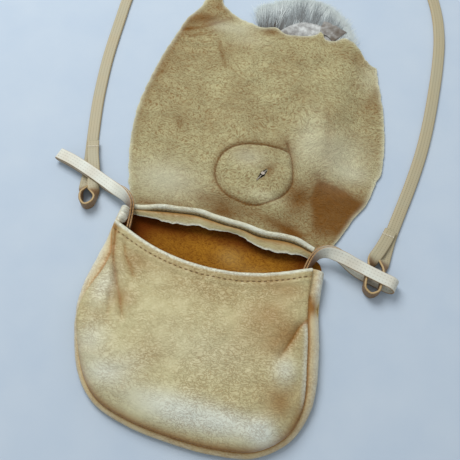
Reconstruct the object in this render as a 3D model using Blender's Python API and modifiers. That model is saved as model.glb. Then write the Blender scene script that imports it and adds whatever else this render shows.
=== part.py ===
"""Fur shoulder pouch: a soft leather pouch lying on its back with its flap thrown open.

The origin is the middle of the back panel's resting face. X runs along the mouth, +Y from the
pouch's round bottom to its mouth and on over the open flap, +Z up from the surface it lies on.
"""
import math

import bmesh
import bpy
import numpy as np
from mathutils import Matrix

MM = 0.001

# Leather and seams
LEATHER = 1.6 * MM
GUSSET_LEATHER = 1.2 * MM
TAB_LEATHER = 1.4 * MM
SEAM_GAP = 0.3 * MM

# Pouch body
BODY_WIDTH = 189 * MM
BODY_DROP = 171 * MM
MOUTH_Y = 86 * MM
HEM_DROP = 18 * MM
HEM_DIP = 24 * MM
HEM_FOLD = 10 * MM
HEM_Z = 15 * MM
CROWN_Z = 20.5 * MM
SIDE_SEAM_Z = 12.5 * MM
BOTTOM_SEAM_Z = 6.6 * MM
SIDE_SEAM_INSET = 8.5 * MM
BOTTOM_SEAM_INSET = 1.8 * MM
MOUTH_SEAM_INSET = 1 * MM
BACK_INSET = 0.4 * MM
GUSSET_SHARE = (0.010, 0.965)
ROLL_RADIUS = 11 * MM
ROLL_OVERHANG = 1.3 * MM

# Turned edges that stand up along the mouth's back seam
HINGE_Z = 12.5 * MM
LIP_ENDS = (-74.5 * MM, 69.5 * MM)
SEAM_WAVE = 1.5 * MM

# Flap and fur
FLAP_WIDTH = 217 * MM
FLAP_LENGTH = 207 * MM
PILE = 6.5 * MM
HIDE_CLEARANCE = 0.2 * MM
ROOT_FLAT = 9 * MM
PELT_CENTRE = (18 * MM, 135 * MM)
PELT_HALF_WIDTH = 54 * MM
PELT_HALF_LENGTH = 112 * MM

# Button and its pin, on the flap's middle
BUTTON_AT = (15.5 * MM, 52 * MM)
BUTTON_RADIUS = 8 * MM
BUTTON_HEIGHT = 4 * MM
BUTTON_LOW = 0.9 * MM
SHANK_RADIUS = 1.5 * MM
SLIT_LENGTH = 10 * MM
SLIT_ANGLE = 62
PIN_RADIUS = 0.5 * MM
PIN_LENGTH = 15 * MM

# Strap and tabs
STRAP_WIDTH = 10 * MM
STRAP_THICKNESS = 2.2 * MM
TAB_WIDTH = 10 * MM

# The body's pattern piece: u across (-1 to 1), v down from the mouth's seam (0) to the bottom (1).
BODY_PATTERN = [
    (-0.905, 0.00), (-0.957, 0.26), (-1.00, 0.44), (-0.968, 0.60), (-0.83, 0.80),
    (-0.62, 0.925), (-0.32, 0.98), (0.02, 1.00), (0.35, 1.00), (0.66, 0.97),
    (0.88, 0.88), (0.98, 0.765), (1.00, 0.64), (0.955, 0.46), (0.883, 0.27), (0.852, 0.00),
]

# The flap keeps the hide's natural edge. u is across (1 is half its width), v away from the seam.
FLAP_LEFT = [
    (-0.71, 0.0), (-0.745, 0.03), (-0.825, 0.10), (-0.917, 0.23), (-0.972, 0.377), (-0.982, 0.507),
    (-0.963, 0.63), (-0.935, 0.75), (-0.89, 0.85), (-0.853, 0.947), (-0.77, 1.034),
    (-0.745, 1.12), (-0.72, 1.20),
]
FLAP_FAR = [
    (-0.72, 1.20), (-0.63, 1.17), (-0.60, 1.07), (-0.548, 1.034), (-0.438, 0.995), (-0.336, 0.966),
    (-0.20, 0.95), (-0.08, 0.957), (0.04, 0.942), (0.17, 0.957), (0.25, 0.982), (0.30, 1.00),
    (0.345, 0.972), (0.42, 0.972), (0.484, 1.00), (0.55, 0.995), (0.622, 0.971), (0.72, 0.918),
    (0.806, 0.899),
]
FLAP_RIGHT = [
    (0.72, 0.0), (0.765, 0.04), (0.825, 0.106), (0.88, 0.17), (0.954, 0.242), (0.99, 0.343),
    (1.018, 0.41), (0.985, 0.56), (0.93, 0.69), (0.862, 0.80), (0.806, 0.899),
]

# Section of each turned edge: distance from the seam, height of the middle of the leather.
BACK_LIP = [
    (-14.0, 0.8), (-8.0, 0.9), (-3.6, 1.5), (-1.7, 3.2), (-1.2, 5.6), (-1.5, 8.2), (-3.2, 9.8),
    (-5.6, 9.5), (-8.4, 8.2),
]
FLAP_LIP = [
    (4.5, 6.0), (4.6, 9.2), (3.4, 11.3), (1.7, 10.8), (1.15, 8.2), (1.15, 4.6), (2.0, 2.2), (5.0, 1.1),
]

# Routes in millimetres with the band's tilt in degrees: 0 stands on its edge, 90 lies flat.
# x runs from the body's left side at the left, from its right side at the right.
# A tab's route is the middle of its two layers, with half the distance between them.
LEFT_TAB = [
    (18.5, 62, 7.4, 8, 0.95), (17.5, 70, 7.6, 10, 0.95), (16.3, 77, 9.4, 14, 0.95),
    (14, 83, 11.6, 24, 0.95), (9, 88, 11.8, 38, 1.1), (3.5, 91.2, 10.2, 56, 1.4),
    (-3, 94, 7.6, 76, 1.9), (-9.5, 96.7, 5.8, 88, 2.15), (-14.5, 98.7, 5.6, 90, 2.15),
    (-23.5, 102.5, 5.6, 90, 2.15), (-35.5, 107, 5.6, 90, 2.15), (-47.5, 111, 5.6, 90, 2.15),
    (-58.5, 114, 5.0, 90, 1.8),
]
RIGHT_TAB = [
    (-27, 60, 7.4, -8, 0.95), (-25.9, 67, 7.5, -10, 0.95), (-23.9, 73.5, 8.6, -14, 0.95),
    (-19.9, 79.5, 11.0, -24, 1.0), (-14, 82.6, 12.2, -40, 1.4), (-7, 82.4, 12.2, -58, 2.3),
    (0.5, 80.6, 10.6, -76, 3.7), (7.5, 78.3, 8.5, -86, 5.0), (13.5, 76.4, 7.2, -90, 5.8),
    (21.5, 74.2, 6.9, -90, 6.0), (29.5, 72.2, 6.9, -90, 6.0), (37.5, 70.4, 6.9, -90, 5.9),
]
# The strap as one route, from its sewn-back end at the left to the one at the right.
STRAP_LEFT_LOOP = [
    (-37, 134, 3.9, 90), (-33, 122, 4.6, 90), (-29.3, 113.5, 5.6, 90), (-25.2, 103, 5.6, 90),
    (-22.9, 94, 5.6, 90), (-19.7, 88.5, 5.5, 44), (-17.5, 83, 5.4, 0), (-18.1, 77.5, 5.4, 0),
    (-22.5, 74, 5.4, 0), (-27.1, 77, 5.4, 0), (-28.9, 83, 5.4, 0), (-29.3, 88.5, 4.6, 44),
    (-29.9, 94, 1.3, 90), (-31.1, 104, 1.3, 90), (-34.5, 118, 1.3, 90), (-38.3, 134, 1.3, 90),
]
STRAP_RUN = [
    (-132.8, 134, 1.3, 90), (-137.5, 154, 1.3, 90), (-142, 175, 1.3, 90), (-145.5, 196, 1.3, 90),
    (-148.5, 218, 1.3, 90), (-150.5, 240, 1.3, 90), (-152, 263, 1.3, 90), (-153.5, 287, 1.3, 90),
    (-154, 312, 1.3, 90), (-150, 342, 1.3, 90), (-140, 371, 1.3, 90), (-123, 398, 1.3, 90),
    (-101, 421, 1.3, 90), (-74, 437, 1.3, 90), (-44, 446, 1.3, 90), (-13, 449, 1.3, 90),
    (18, 446, 1.3, 90), (48, 438, 1.3, 90), (76, 424, 1.3, 90), (100, 404, 1.3, 90),
    (118, 379, 1.3, 90), (130, 351, 1.3, 90), (137, 321, 1.3, 90), (140, 290, 1.3, 90),
    (141, 258, 1.3, 90), (141, 226, 1.3, 90), (139.5, 196, 1.3, 90), (136, 166, 1.3, 90),
    (131.5, 138, 1.3, 90), (127.6, 114, 1.3, 90),
]
STRAP_RIGHT_LOOP = [
    (33.1, 114, 1.3, 90), (31.9, 101, 1.3, 90), (31.4, 92, 1.8, 84), (31.5, 84, 4.9, 36),
    (31.7, 77, 6.9, 0), (31.7, 66.5, 6.9, 0), (30.7, 61.8, 5.8, 0), (25.8, 58.8, 5.4, 0),
    (20.9, 61.8, 5.8, 0), (19.8, 66.5, 6.9, 0), (20.1, 77, 6.9, 0), (21.5, 84.5, 6.4, -44),
    (24.1, 92, 5.0, -90), (26.5, 98, 4.4, -90), (29.5, 107, 3.9, -90), (32.1, 117, 3.9, -90),
]


def clear_scene():
    for item in list(bpy.data.objects):
        bpy.data.objects.remove(item)


def leather(name, colour, roughness, metallic=0.0):
    """A plain material with the piece's own colour."""
    material = bpy.data.materials.new(name)
    material.use_nodes = True
    shader = material.node_tree.nodes["Principled BSDF"]
    shader.inputs["Base Color"].default_value = (*colour, 1.0)
    shader.inputs["Roughness"].default_value = roughness
    shader.inputs["Metallic"].default_value = metallic
    return material


def add_object(name, data, material, collection):
    item = bpy.data.objects.new(name, data)
    collection.objects.link(item)
    data.materials.append(material)
    return item


def smooth_path(points, count):
    """Even points on the smooth curve that passes through the given ones."""
    knots = np.array(points, float)
    ends = np.vstack([2 * knots[0] - knots[1], knots, 2 * knots[-1] - knots[-2]])
    step = np.linspace(0, 1, 24, endpoint=False)[:, None]
    stretches = []
    for before, start, stop, after in zip(ends, ends[1:], ends[2:], ends[3:]):
        bend = 2 * before - 5 * start + 4 * stop - after
        twist = 3 * start - before - 3 * stop + after
        stretches.append(start + 0.5 * ((stop - before) * step + bend * step**2 + twist * step**3))
    dense = np.vstack(stretches + [knots[-1:]])
    run = np.concatenate([[0], np.cumsum(np.linalg.norm(np.diff(dense[:, :3], axis=0), axis=1))])
    even = np.linspace(0, run[-1], count)
    return np.stack([np.interp(even, run, column) for column in dense.T], axis=1)


def at_fractions(path, fractions):
    """Points of a path at the given shares of its length."""
    run = np.concatenate([[0], np.cumsum(np.linalg.norm(np.diff(path, axis=0), axis=1))])
    return np.stack([np.interp(np.array(fractions) * run[-1], run, column) for column in path.T], axis=1)


def patch(south, north, west, east, across, up):
    """Rows of points that fill a four-sided outline evenly."""
    south, north = at_fractions(south, across), at_fractions(north, across)
    west, east = at_fractions(west, up), at_fractions(east, up)
    u = np.array(across)[:, None, None]
    v = np.array(up)[None, :, None]
    low = (1 - u) * south[0] + u * south[-1]
    high = (1 - u) * north[0] + u * north[-1]
    sides = (1 - u) * west[None] + u * east[None]
    return (1 - v) * south[:, None] + v * north[:, None] + sides - (1 - v) * low - v * high


def grid_mesh(name, points):
    """A grid primitive laid on rows of points."""
    rows, columns = points.shape[:2]
    shape = bmesh.new()
    bmesh.ops.create_grid(shape, x_segments=rows - 1, y_segments=columns - 1, size=1)
    for corner in shape.verts:
        row = round((corner.co.x + 1) / 2 * (rows - 1))
        column = round((corner.co.y + 1) / 2 * (columns - 1))
        corner.co = points[row, column]
    mesh = bpy.data.meshes.new(name)
    shape.to_mesh(mesh)
    shape.free()
    mesh.shade_smooth()
    return mesh


def sheet(name, points, thickness, material, collection):
    """A sheet of leather, its wall made on both sides of the points by Solidify."""
    item = add_object(name, grid_mesh(name, points), material, collection)
    wall = item.modifiers.new("wall", "SOLIDIFY")
    wall.thickness = thickness
    wall.offset = 0
    return item


def fade(value):
    """0 below 0, 1 above 1 and a soft step between."""
    value = np.clip(value, 0, 1)
    return value * value * (3 - 2 * value)


def seam_y(x):
    """The mouth's back seam runs in a slow wave."""
    return MOUTH_Y + SEAM_WAVE * np.cos(2.6 * math.pi * x / BODY_WIDTH + 0.4)


def body_outline(inset_at_bottom, inset_at_sides, count=241):
    """The pouch's outline from the left mouth corner round to the right one, drawn in by a seam."""
    pattern = [(u * BODY_WIDTH / 2, MOUTH_Y - v * BODY_DROP) for u, v in BODY_PATTERN]
    path = smooth_path(pattern, count)
    along = np.gradient(path, axis=0)
    along /= np.linalg.norm(along, axis=1)[:, None]
    inward = np.stack([-along[:, 1], along[:, 0]], axis=1)
    side = side_share(path[:, 1])
    inset = inset_at_bottom + (inset_at_sides - inset_at_bottom) * side
    return path + inward * inset[:, None]


def side_share(y):
    """0 along the round bottom, 1 up the straight sides."""
    bottom = MOUTH_Y - BODY_DROP
    return fade((y - bottom - 0.06 * BODY_DROP) / (0.42 * BODY_DROP))


def seam_height(y):
    return BOTTOM_SEAM_Z + (SIDE_SEAM_Z - BOTTOM_SEAM_Z) * side_share(y)


def cut_outline(path, top_left, top_right):
    """Split an outline into left side, bottom and right side, between two heights at the top."""
    half = len(path) // 2
    left = path[:half][path[:half, 1] <= top_left]
    right = path[half:][path[half:, 1] <= top_right]
    whole = np.vstack([left, right])
    turn = round(0.30 * len(whole))
    west = whole[:turn + 1][::-1]
    south = whole[turn:len(whole) - turn]
    east = whole[len(whole) - turn - 1:]
    return south, west, east


def hem_curve(left, right, count=61):
    """The scooped top edge of the front panel."""
    share = np.linspace(0, 1, count)[:, None]
    line = left + (right - left) * share
    line[:, 1] -= HEM_DIP * 4 * share[:, 0] * (1 - share[:, 0])
    return line


def crease(points, start, stop, depth, width):
    """A soft valley along a line, as a drop in height."""
    start, stop = np.array(start) * MM, np.array(stop) * MM
    reach = stop - start
    share = np.clip(((points - start) @ reach) / (reach @ reach), 0, 1)
    away = np.linalg.norm(points - start - share[..., None] * reach, axis=-1)
    return depth * MM * np.exp(-(away / (width * MM)) ** 2) * (1 - 0.6 * share)


def front_panel(material, collection):
    """A puffed panel with a scooped, doubled hem, rolled over its seam along sides and bottom."""
    edge = 0.3 * MM
    rim = body_outline(BOTTOM_SEAM_INSET + edge, SIDE_SEAM_INSET + edge)
    top = MOUTH_Y - HEM_DROP
    south, west, east = cut_outline(rim, top, top)
    close = [0, 0.012, 0.03, 0.06, 0.105]
    across = close + list(np.linspace(0.16, 0.84, 12)) + [1 - share for share in reversed(close)]
    fold = HEM_FOLD / BODY_DROP
    up = close + list(np.linspace(0.16, 1 - fold, 12)) + [1 - 0.5 * fold, 1]
    flat = patch(south, hem_curve(west[-1], east[-1]), west, east, across, up)
    seam = np.vstack([west[::-1], south[1:-1], east])
    away = np.linalg.norm(flat[:, :, None] - seam[None, None], axis=-1)
    nearest = seam[away.argmin(axis=2)]
    away = away.min(axis=2)
    below_hem = np.clip(flat[:, -1:, 1] - flat[..., 1], 0, None)
    base = seam_height(nearest[..., 1]) + 0.5 * (LEATHER + GUSSET_LEATHER) + SEAM_GAP
    full = 1 - np.exp(-away / ROLL_RADIUS)
    height = base + (CROWN_Z - LEATHER / 2 - base) * full
    height -= (CROWN_Z - HEM_Z) * np.exp(-(below_hem / (40 * MM)) ** 2) * full**2
    for start, stop, depth, width in (
        ((-82, 62), (-74, 30), 1.8, 5), ((-76, 58), (-56, 36), 1.2, 5), ((66, 10), (40, -10), 1.6, 6),
    ):
        height -= crease(flat, start, stop, depth, width) * fade(away / (10 * MM))
    outward = nearest - flat
    outward /= np.maximum(np.linalg.norm(outward, axis=2), 0.1 * MM)[..., None]
    swell = ROLL_OVERHANG * (away / (2.5 * MM)) * np.exp(1 - away / (2.5 * MM))
    flat = flat + outward * (swell * (1 - 0.6 * side_share(flat[..., 1])))[..., None]
    item = sheet("front_panel", np.dstack([flat, height]), LEATHER, material, collection)
    single = item.vertex_groups.new(name="hem")
    columns = len(up)
    for corner in item.data.vertices:
        column = np.abs(flat[..., 1] - corner.co.y) + np.abs(flat[..., 0] - corner.co.x)
        if column.argmin() % columns >= columns - 3:
            single.add([corner.index], 1.0, "REPLACE")
    wall = item.modifiers["wall"]
    wall.thickness = 2 * LEATHER
    wall.vertex_group = "hem"
    wall.thickness_vertex_group = 0.5
    return item


def gusset(material, collection):
    """The narrow strip between front and back, from one mouth corner round to the other."""
    path = body_outline(0, 0)
    path = at_fractions(path, np.linspace(*GUSSET_SHARE, 45))
    along = np.gradient(path, axis=0)
    along /= np.linalg.norm(along, axis=1)[:, None]
    inward = np.stack([-along[:, 1], along[:, 0]], axis=1)
    side = side_share(path[:, 1])
    seam_inset = BOTTOM_SEAM_INSET + (SIDE_SEAM_INSET - BOTTOM_SEAM_INSET) * side
    top = seam_height(path[:, 1])
    free = fade((path[:, 1] - (MOUTH_Y - HEM_DROP)) / HEM_DROP)
    seam_inset += (MOUTH_SEAM_INSET - SIDE_SEAM_INSET) * free
    top = top + 1.2 * MM * free
    foot = LEATHER + SEAM_GAP + GUSSET_LEATHER / 2
    section = [(1.0, 1.0, 0), (0.55, 0.80, 0), (0.16, 0.52, 0), (0.0, 0.22, 0), (0.0, 0.0, 1.5 * MM)]
    rows = []
    for share, rise, extra in section:
        spot = path + inward * (seam_inset * share + extra)[:, None]
        rows.append(np.column_stack([spot, foot + (top - foot) * rise]))
    return sheet("gusset", np.stack(rows, axis=1), GUSSET_LEATHER, material, collection)


def back_panel(material, collection):
    """The flat back, its top edge turned up and curled into the mouth along the seam."""
    rim = body_outline(BACK_INSET, BACK_INSET)
    flat_top = MOUTH_Y + (BACK_LIP[0][0] - 4) * MM
    south, west, east = cut_outline(rim, flat_top, flat_top)
    across = np.linspace(0, 1, 19)
    x = west[-1, 0] + (east[-1, 0] - west[-1, 0]) * across
    north = np.column_stack([x, np.full(len(x), flat_top)])
    flat = patch(south, north, west, east, across, np.linspace(0, 1, 10))
    floor = np.full(flat.shape[:2], LEATHER / 2)
    rows = [np.dstack([flat, floor])]
    lip_x = LIP_ENDS[0] + (LIP_ENDS[1] - LIP_ENDS[0]) * across
    for index, (reach, height) in enumerate(BACK_LIP):
        share = fade((index + 1) / 4)
        row_x = x + (lip_x - x) * share
        row = np.column_stack([row_x, seam_y(row_x) + reach * MM, np.full(len(x), height * MM)])
        rows.append(row[:, None])
    return sheet("back_panel", np.concatenate(rows, axis=1), LEATHER, material, collection)


def pelt_share(points):
    """0 at the pelt's middle, 1 on its outline."""
    across = (points[..., 0] - PELT_CENTRE[0]) / PELT_HALF_WIDTH
    along = (points[..., 1] - MOUTH_Y - PELT_CENTRE[1]) / PELT_HALF_LENGTH
    return (np.abs(across) ** 3 + np.abs(along) ** 3) ** (1 / 3)


def pile_height(points):
    """How high the fur lifts the flap off the surface below."""
    start = fade((points[..., 1] - MOUTH_Y - ROOT_FLAT) / (22 * MM))
    return PILE * start * (1 - fade((pelt_share(points) - 0.66) / 0.62))


def flap_points(across, up):
    """Rows of the flap: its turned root first, then the hide itself out to its natural edge."""
    def scaled(outline):
        return smooth_path([(u * FLAP_WIDTH / 2, v * FLAP_LENGTH) for u, v in outline], 121)

    west, far, east = scaled(FLAP_LEFT), scaled(FLAP_FAR), scaled(FLAP_RIGHT)
    start = ROOT_FLAT
    west, east = west[west[:, 1] >= start], east[east[:, 1] >= start]
    x = west[0, 0] + (east[0, 0] - west[0, 0]) * np.array(across)
    south = np.column_stack([x, np.full(len(x), start)])
    hide = patch(south, far, west, east, across, up)
    wave = (seam_y(x) - MOUTH_Y)[:, None] * (1 - fade((hide[..., 1] - start) / (40 * MM)))
    hide[..., 1] += MOUTH_Y + wave
    height = pile_height(hide) + LEATHER / 2 + HIDE_CLEARANCE
    rows = []
    lip_x = LIP_ENDS[0] + (LIP_ENDS[1] - LIP_ENDS[0]) * np.array(across)
    for reach, level in FLAP_LIP:
        share = fade((reach - 2) / 5) if level < 2 else 0
        row_x = lip_x + (x - lip_x) * share
        row = np.column_stack([row_x, seam_y(row_x) + reach * MM, np.full(len(x), level * MM)])
        rows.append(row[:, None])
    rows.append(np.dstack([hide, height]))
    return np.concatenate(rows, axis=1)


def pelt_points(count_across, count_along):
    """A grid over the pelt's rounded outline."""
    def rounded(angle):
        c, s = np.cos(angle), np.sin(angle)
        size = (np.abs(c) ** 3 + np.abs(s) ** 3) ** (-1 / 3)
        x = PELT_CENTRE[0] + PELT_HALF_WIDTH * c * size
        y = MOUTH_Y + PELT_CENTRE[1] + PELT_HALF_LENGTH * s * size
        return np.column_stack([x, y])

    quarter = np.linspace(-math.pi / 4, math.pi / 4, 61)
    south = rounded(quarter - math.pi / 2)
    north = rounded(quarter + math.pi / 2)[::-1]
    west = rounded(quarter + math.pi)[::-1]
    east = rounded(quarter)
    return patch(south, north, west, east, np.linspace(0, 1, count_across), np.linspace(0, 1, count_along))


def fur_pelt(material, collection):
    """The pelt under the open flap: its hide against the flap, its pile down on the surface."""
    flat = pelt_points(15, 23)
    top = pile_height(flat) + HIDE_CLEARANCE - SEAM_GAP
    lift = 0.7 * MM * fade((pelt_share(flat) - 0.8) / 0.2)
    mesh = grid_mesh("fur_pelt", np.dstack([flat, top]))
    shape = bmesh.new()
    shape.from_mesh(mesh)
    grown = bmesh.ops.extrude_face_region(shape, geom=shape.faces[:])["geom"]
    for corner in (piece for piece in grown if isinstance(piece, bmesh.types.BMVert)):
        away = np.abs(flat[..., 0] - corner.co.x) + np.abs(flat[..., 1] - corner.co.y)
        corner.co.z = lift.flat[away.argmin()]
    bmesh.ops.recalc_face_normals(shape, faces=shape.faces[:])
    shape.to_mesh(mesh)
    shape.free()
    return add_object("fur_pelt", mesh, material, collection)


def cut(item, cutter):
    tool = item.modifiers.new("cut_" + cutter.name, "BOOLEAN")
    tool.object = cutter
    tool.operation = "DIFFERENCE"
    tool.solver = "EXACT"


def hide(item):
    item.hide_render = True
    item.display_type = "WIRE"
    return item


def cylinder(name, radius, low, high, spot, sides, collection):
    """An upright cylinder primitive between two heights."""
    shape = bmesh.new()
    bmesh.ops.create_cone(
        shape, cap_ends=True, segments=sides, radius1=radius, radius2=radius, depth=high - low,
    )
    bmesh.ops.translate(shape, verts=shape.verts[:], vec=(spot[0], spot[1], (low + high) / 2))
    mesh = bpy.data.meshes.new(name)
    shape.to_mesh(mesh)
    shape.free()
    item = bpy.data.objects.new(name, mesh)
    collection.objects.link(item)
    return hide(item)


def slot(name, width, length, low, high, spot, collection):
    """An upright slot cutter with round ends, turned to the slit's angle."""
    item = cylinder(name, width / 2, low, high, (0, 0), 16, collection)
    for corner in item.data.vertices:
        corner.co.x += math.copysign((length - width) / 2, corner.co.x)
    item.location = (*spot, 0)
    item.rotation_euler.z = math.radians(SLIT_ANGLE)
    return item


def button(spot, seat, material, collection, cutters):
    """A domed button turned as one profile, with an eye through its shank above the flap."""
    head = BUTTON_LOW + BUTTON_HEIGHT
    eye_radius = PIN_RADIUS + SEAM_GAP
    eye = seat + SEAM_GAP + PIN_RADIUS
    tip = eye + eye_radius + 0.7 * MM
    profile = [
        (0, tip), (SHANK_RADIUS, tip), (SHANK_RADIUS, head), (0.85 * BUTTON_RADIUS, head),
        (BUTTON_RADIUS, head - 0.8 * MM), (0.86 * BUTTON_RADIUS, BUTTON_LOW + 0.9 * MM),
        (0.5 * BUTTON_RADIUS, BUTTON_LOW + 0.2 * MM), (0, BUTTON_LOW),
    ]
    mesh = bpy.data.meshes.new("button")
    mesh.from_pydata([(x, 0, z) for x, z in profile], [(i, i + 1) for i in range(len(profile) - 1)], [])
    item = add_object("button", mesh, material, collection)
    item.location = (*spot, 0)
    turn = item.modifiers.new("turn", "SCREW")
    turn.steps = turn.render_steps = 20
    turn.merge_threshold = 0.00001
    turn.use_merge_vertices = True
    hole = cylinder("shank_eye", eye_radius, -4 * MM, 4 * MM, (0, 0), 12, cutters)
    hole.location = (*spot, eye)
    hole.rotation_euler = (0, math.pi / 2, math.radians(SLIT_ANGLE))
    cut(item, hole)
    return item


def band(name, stations, width, thickness, material, collection):
    """A flat strip: a curve with a bevelled, extruded section that follows each point's tilt."""
    curve = bpy.data.curves.new(name, "CURVE")
    curve.dimensions = "3D"
    curve.twist_mode = "Z_UP"
    curve.bevel_depth = thickness / 2
    curve.extrude = (width - thickness) / 2
    curve.bevel_resolution = 0
    curve.use_fill_caps = True
    spline = curve.splines.new("POLY")
    spline.points.add(len(stations) - 1)
    for point, (x, y, z, tilt) in zip(spline.points, stations):
        point.co = (x, y, z, 1)
        point.tilt = math.radians(tilt)
    return add_object(name, curve, material, collection)


def from_side(route, side):
    """A route's points with x counted from the pouch's middle: side is -1 at the left, 1 at the right."""
    points = np.array(route, float)
    points[:, 0] += side * BODY_WIDTH / 2 / MM
    return points


def tab(name, route, side, material, collection):
    """A strip folded in two: out along one layer, round the strap's loop and back on the other."""
    middle = from_side(route, side)
    along = np.gradient(middle[:, :3], axis=0)
    along[:, 2] = 0
    along /= np.linalg.norm(along, axis=1)[:, None]
    right = np.column_stack([along[:, 1], -along[:, 0], np.zeros(len(along))])
    tilt = np.radians(middle[:, 3:4])
    across = np.cos(tilt) * np.array([0, 0, 1]) + np.sin(tilt) * right
    normal = np.cos(tilt) * right - np.sin(tilt) * np.array([0, 0, 1])
    shift = normal * middle[:, 4:5]
    turn = np.radians([30, 60, 90, 120, 150])[:, None]
    end = middle[-1, :3] - shift[-1] * np.cos(turn) + along[-1] * middle[-1, 4] * np.sin(turn)
    spots = np.vstack([middle[:, :3] - shift, end, (middle[:, :3] + shift)[::-1]]) * MM
    half = np.vstack([across, np.repeat(across[-1:], len(turn), axis=0), across[::-1]]) * TAB_WIDTH / 2
    rows = np.stack([spots - half, spots, spots + half], axis=1)
    return sheet(name, rows, TAB_LEATHER, material, collection)


def shoulder_strap(material, collection):
    """The strap, laid round the open flap, its ends folded back through the tabs."""
    run = smooth_path(STRAP_RUN, 32)
    stations = np.vstack([from_side(STRAP_LEFT_LOOP, -1), run[1:-1], from_side(STRAP_RIGHT_LOOP, 1)])
    stations[:, :3] *= MM
    return band("shoulder_strap", stations, STRAP_WIDTH, STRAP_THICKNESS, material, collection)


def pin(spot, seat, material, collection):
    """A wire pin through the button's shank, lying along the slit on the flap's suede side."""
    curve = bpy.data.curves.new("button_pin", "CURVE")
    curve.dimensions = "3D"
    curve.bevel_depth = PIN_RADIUS
    curve.bevel_resolution = 1
    curve.use_fill_caps = True
    half = PIN_LENGTH / 2
    route = [(-half, 0), (0, 0), (0.72 * half, 0), (0.92 * half, 0.08 * half), (half, 0.26 * half)]
    spline = curve.splines.new("POLY")
    spline.points.add(len(route) - 1)
    for point, (along, aside) in zip(spline.points, route):
        point.co = (along, aside, 0, 1)
    item = add_object("button_pin", curve, material, collection)
    item.location = (*spot, seat + SEAM_GAP + PIN_RADIUS)
    item.rotation_euler.z = math.radians(SLIT_ANGLE)
    return item


def on_hinge(item, hinge):
    """Parent a moving piece to the hinge line where it stands."""
    item.parent = hinge
    item.matrix_parent_inverse = Matrix.Translation(hinge.location).inverted()


def main():
    clear_scene()
    scene = bpy.context.scene
    parts = bpy.data.collections.new("fur_shoulder_pouch")
    cutters = bpy.data.collections.new("cutters")
    scene.collection.children.link(parts)
    scene.collection.children.link(cutters)

    grain = leather("grain_leather", (0.60, 0.50, 0.31), 0.5)
    edge = leather("gusset_leather", (0.52, 0.40, 0.22), 0.55)
    lining = leather("back_leather", (0.42, 0.29, 0.12), 0.8)
    suede = leather("suede", (0.44, 0.34, 0.16), 0.9)
    fur = leather("fur", (0.55, 0.55, 0.53), 0.9)
    strip = leather("strap_leather", (0.66, 0.58, 0.42), 0.5)
    tab_skin = leather("tab_leather", (0.78, 0.76, 0.65), 0.5)
    metal = leather("metal", (0.30, 0.29, 0.28), 0.35, 1.0)

    front_panel(grain, parts)
    gusset(edge, parts)
    back_panel(lining, parts)

    across = np.linspace(0, 1, 25)
    flap = sheet("flap", flap_points(across, np.linspace(0, 1, 22)), LEATHER, suede, parts)
    pelt = fur_pelt(fur, parts)
    spot = (BUTTON_AT[0], MOUTH_Y + BUTTON_AT[1])
    seat = float(pile_height(np.array(spot))) + HIDE_CLEARANCE + LEATHER
    stud = button(spot, seat, metal, parts, cutters)
    wire = pin(spot, seat, metal, parts)
    width = 2 * (SHANK_RADIUS + SEAM_GAP)
    slit = slot("slit", width, SLIT_LENGTH, -CROWN_Z, CROWN_Z, spot, cutters)
    pocket_top = BUTTON_LOW + BUTTON_HEIGHT + SEAM_GAP
    pocket = cylinder("button_pocket", BUTTON_RADIUS + SEAM_GAP, -CROWN_Z, pocket_top, spot, 20, cutters)
    cut(flap, slit)
    cut(pelt, slit)
    cut(pelt, pocket)
    hinge = bpy.data.objects.new("flap_hinge", None)
    hinge.location = (0, MOUTH_Y, HINGE_Z)
    parts.objects.link(hinge)
    for item in (flap, pelt, stud, wire):
        on_hinge(item, hinge)

    tab("left_tab", LEFT_TAB, -1, tab_skin, parts)
    tab("right_tab", RIGHT_TAB, 1, tab_skin, parts)
    shoulder_strap(strip, parts)


main()
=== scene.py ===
import math

import bmesh
import bpy
import numpy as np
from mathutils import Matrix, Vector, noise
from mathutils.bvhtree import BVHTree


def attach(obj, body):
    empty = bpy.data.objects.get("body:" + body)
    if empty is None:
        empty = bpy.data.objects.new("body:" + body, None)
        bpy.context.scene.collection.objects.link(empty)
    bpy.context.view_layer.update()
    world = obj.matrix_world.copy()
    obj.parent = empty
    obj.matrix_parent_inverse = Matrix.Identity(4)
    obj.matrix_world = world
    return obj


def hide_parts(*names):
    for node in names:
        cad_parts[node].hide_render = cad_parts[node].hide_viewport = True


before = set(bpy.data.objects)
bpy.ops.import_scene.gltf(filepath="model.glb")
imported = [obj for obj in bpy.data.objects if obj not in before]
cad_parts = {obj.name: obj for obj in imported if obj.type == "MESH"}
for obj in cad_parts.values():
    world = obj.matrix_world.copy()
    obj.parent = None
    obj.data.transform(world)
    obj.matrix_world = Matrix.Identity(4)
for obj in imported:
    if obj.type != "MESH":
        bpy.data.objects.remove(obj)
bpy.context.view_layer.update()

# View, floor and light
# The camera looks down on the pouch from its lower right, as in the photograph. The floor is plain
# and pale. A broad lamp stands above and to the upper left, and the world fills the shade.
azimuth, elevation, distance = math.radians(15), math.radians(66), 0.565
look_at = Vector((0.0015, 0.086, 0))
focal_length_px, picture_width_px = 700, 460
back = Vector((
    math.sin(azimuth) * math.cos(elevation), -math.cos(azimuth) * math.cos(elevation), math.sin(elevation),
))
bpy.ops.object.camera_add(
    location=look_at + distance * back, rotation=back.to_track_quat("Z", "Y").to_euler(),
)
camera = bpy.context.object
camera.data.sensor_width = 36
camera.data.lens = camera.data.sensor_width * focal_length_px / picture_width_px
camera.data.clip_start = 0.01
bpy.context.scene.camera = camera
bpy.context.scene.view_settings.view_transform = "Standard"

bpy.ops.object.light_add(type="AREA", location=(-0.6, 0.75, 1.15))
lamp = bpy.context.object
lamp.data.shape = "DISK"
lamp.data.size = 0.9
lamp.data.energy = 15
lamp.rotation_euler = (Vector((0, 0.1, 0)) - lamp.location).to_track_quat("-Z", "Y").to_euler()

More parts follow.
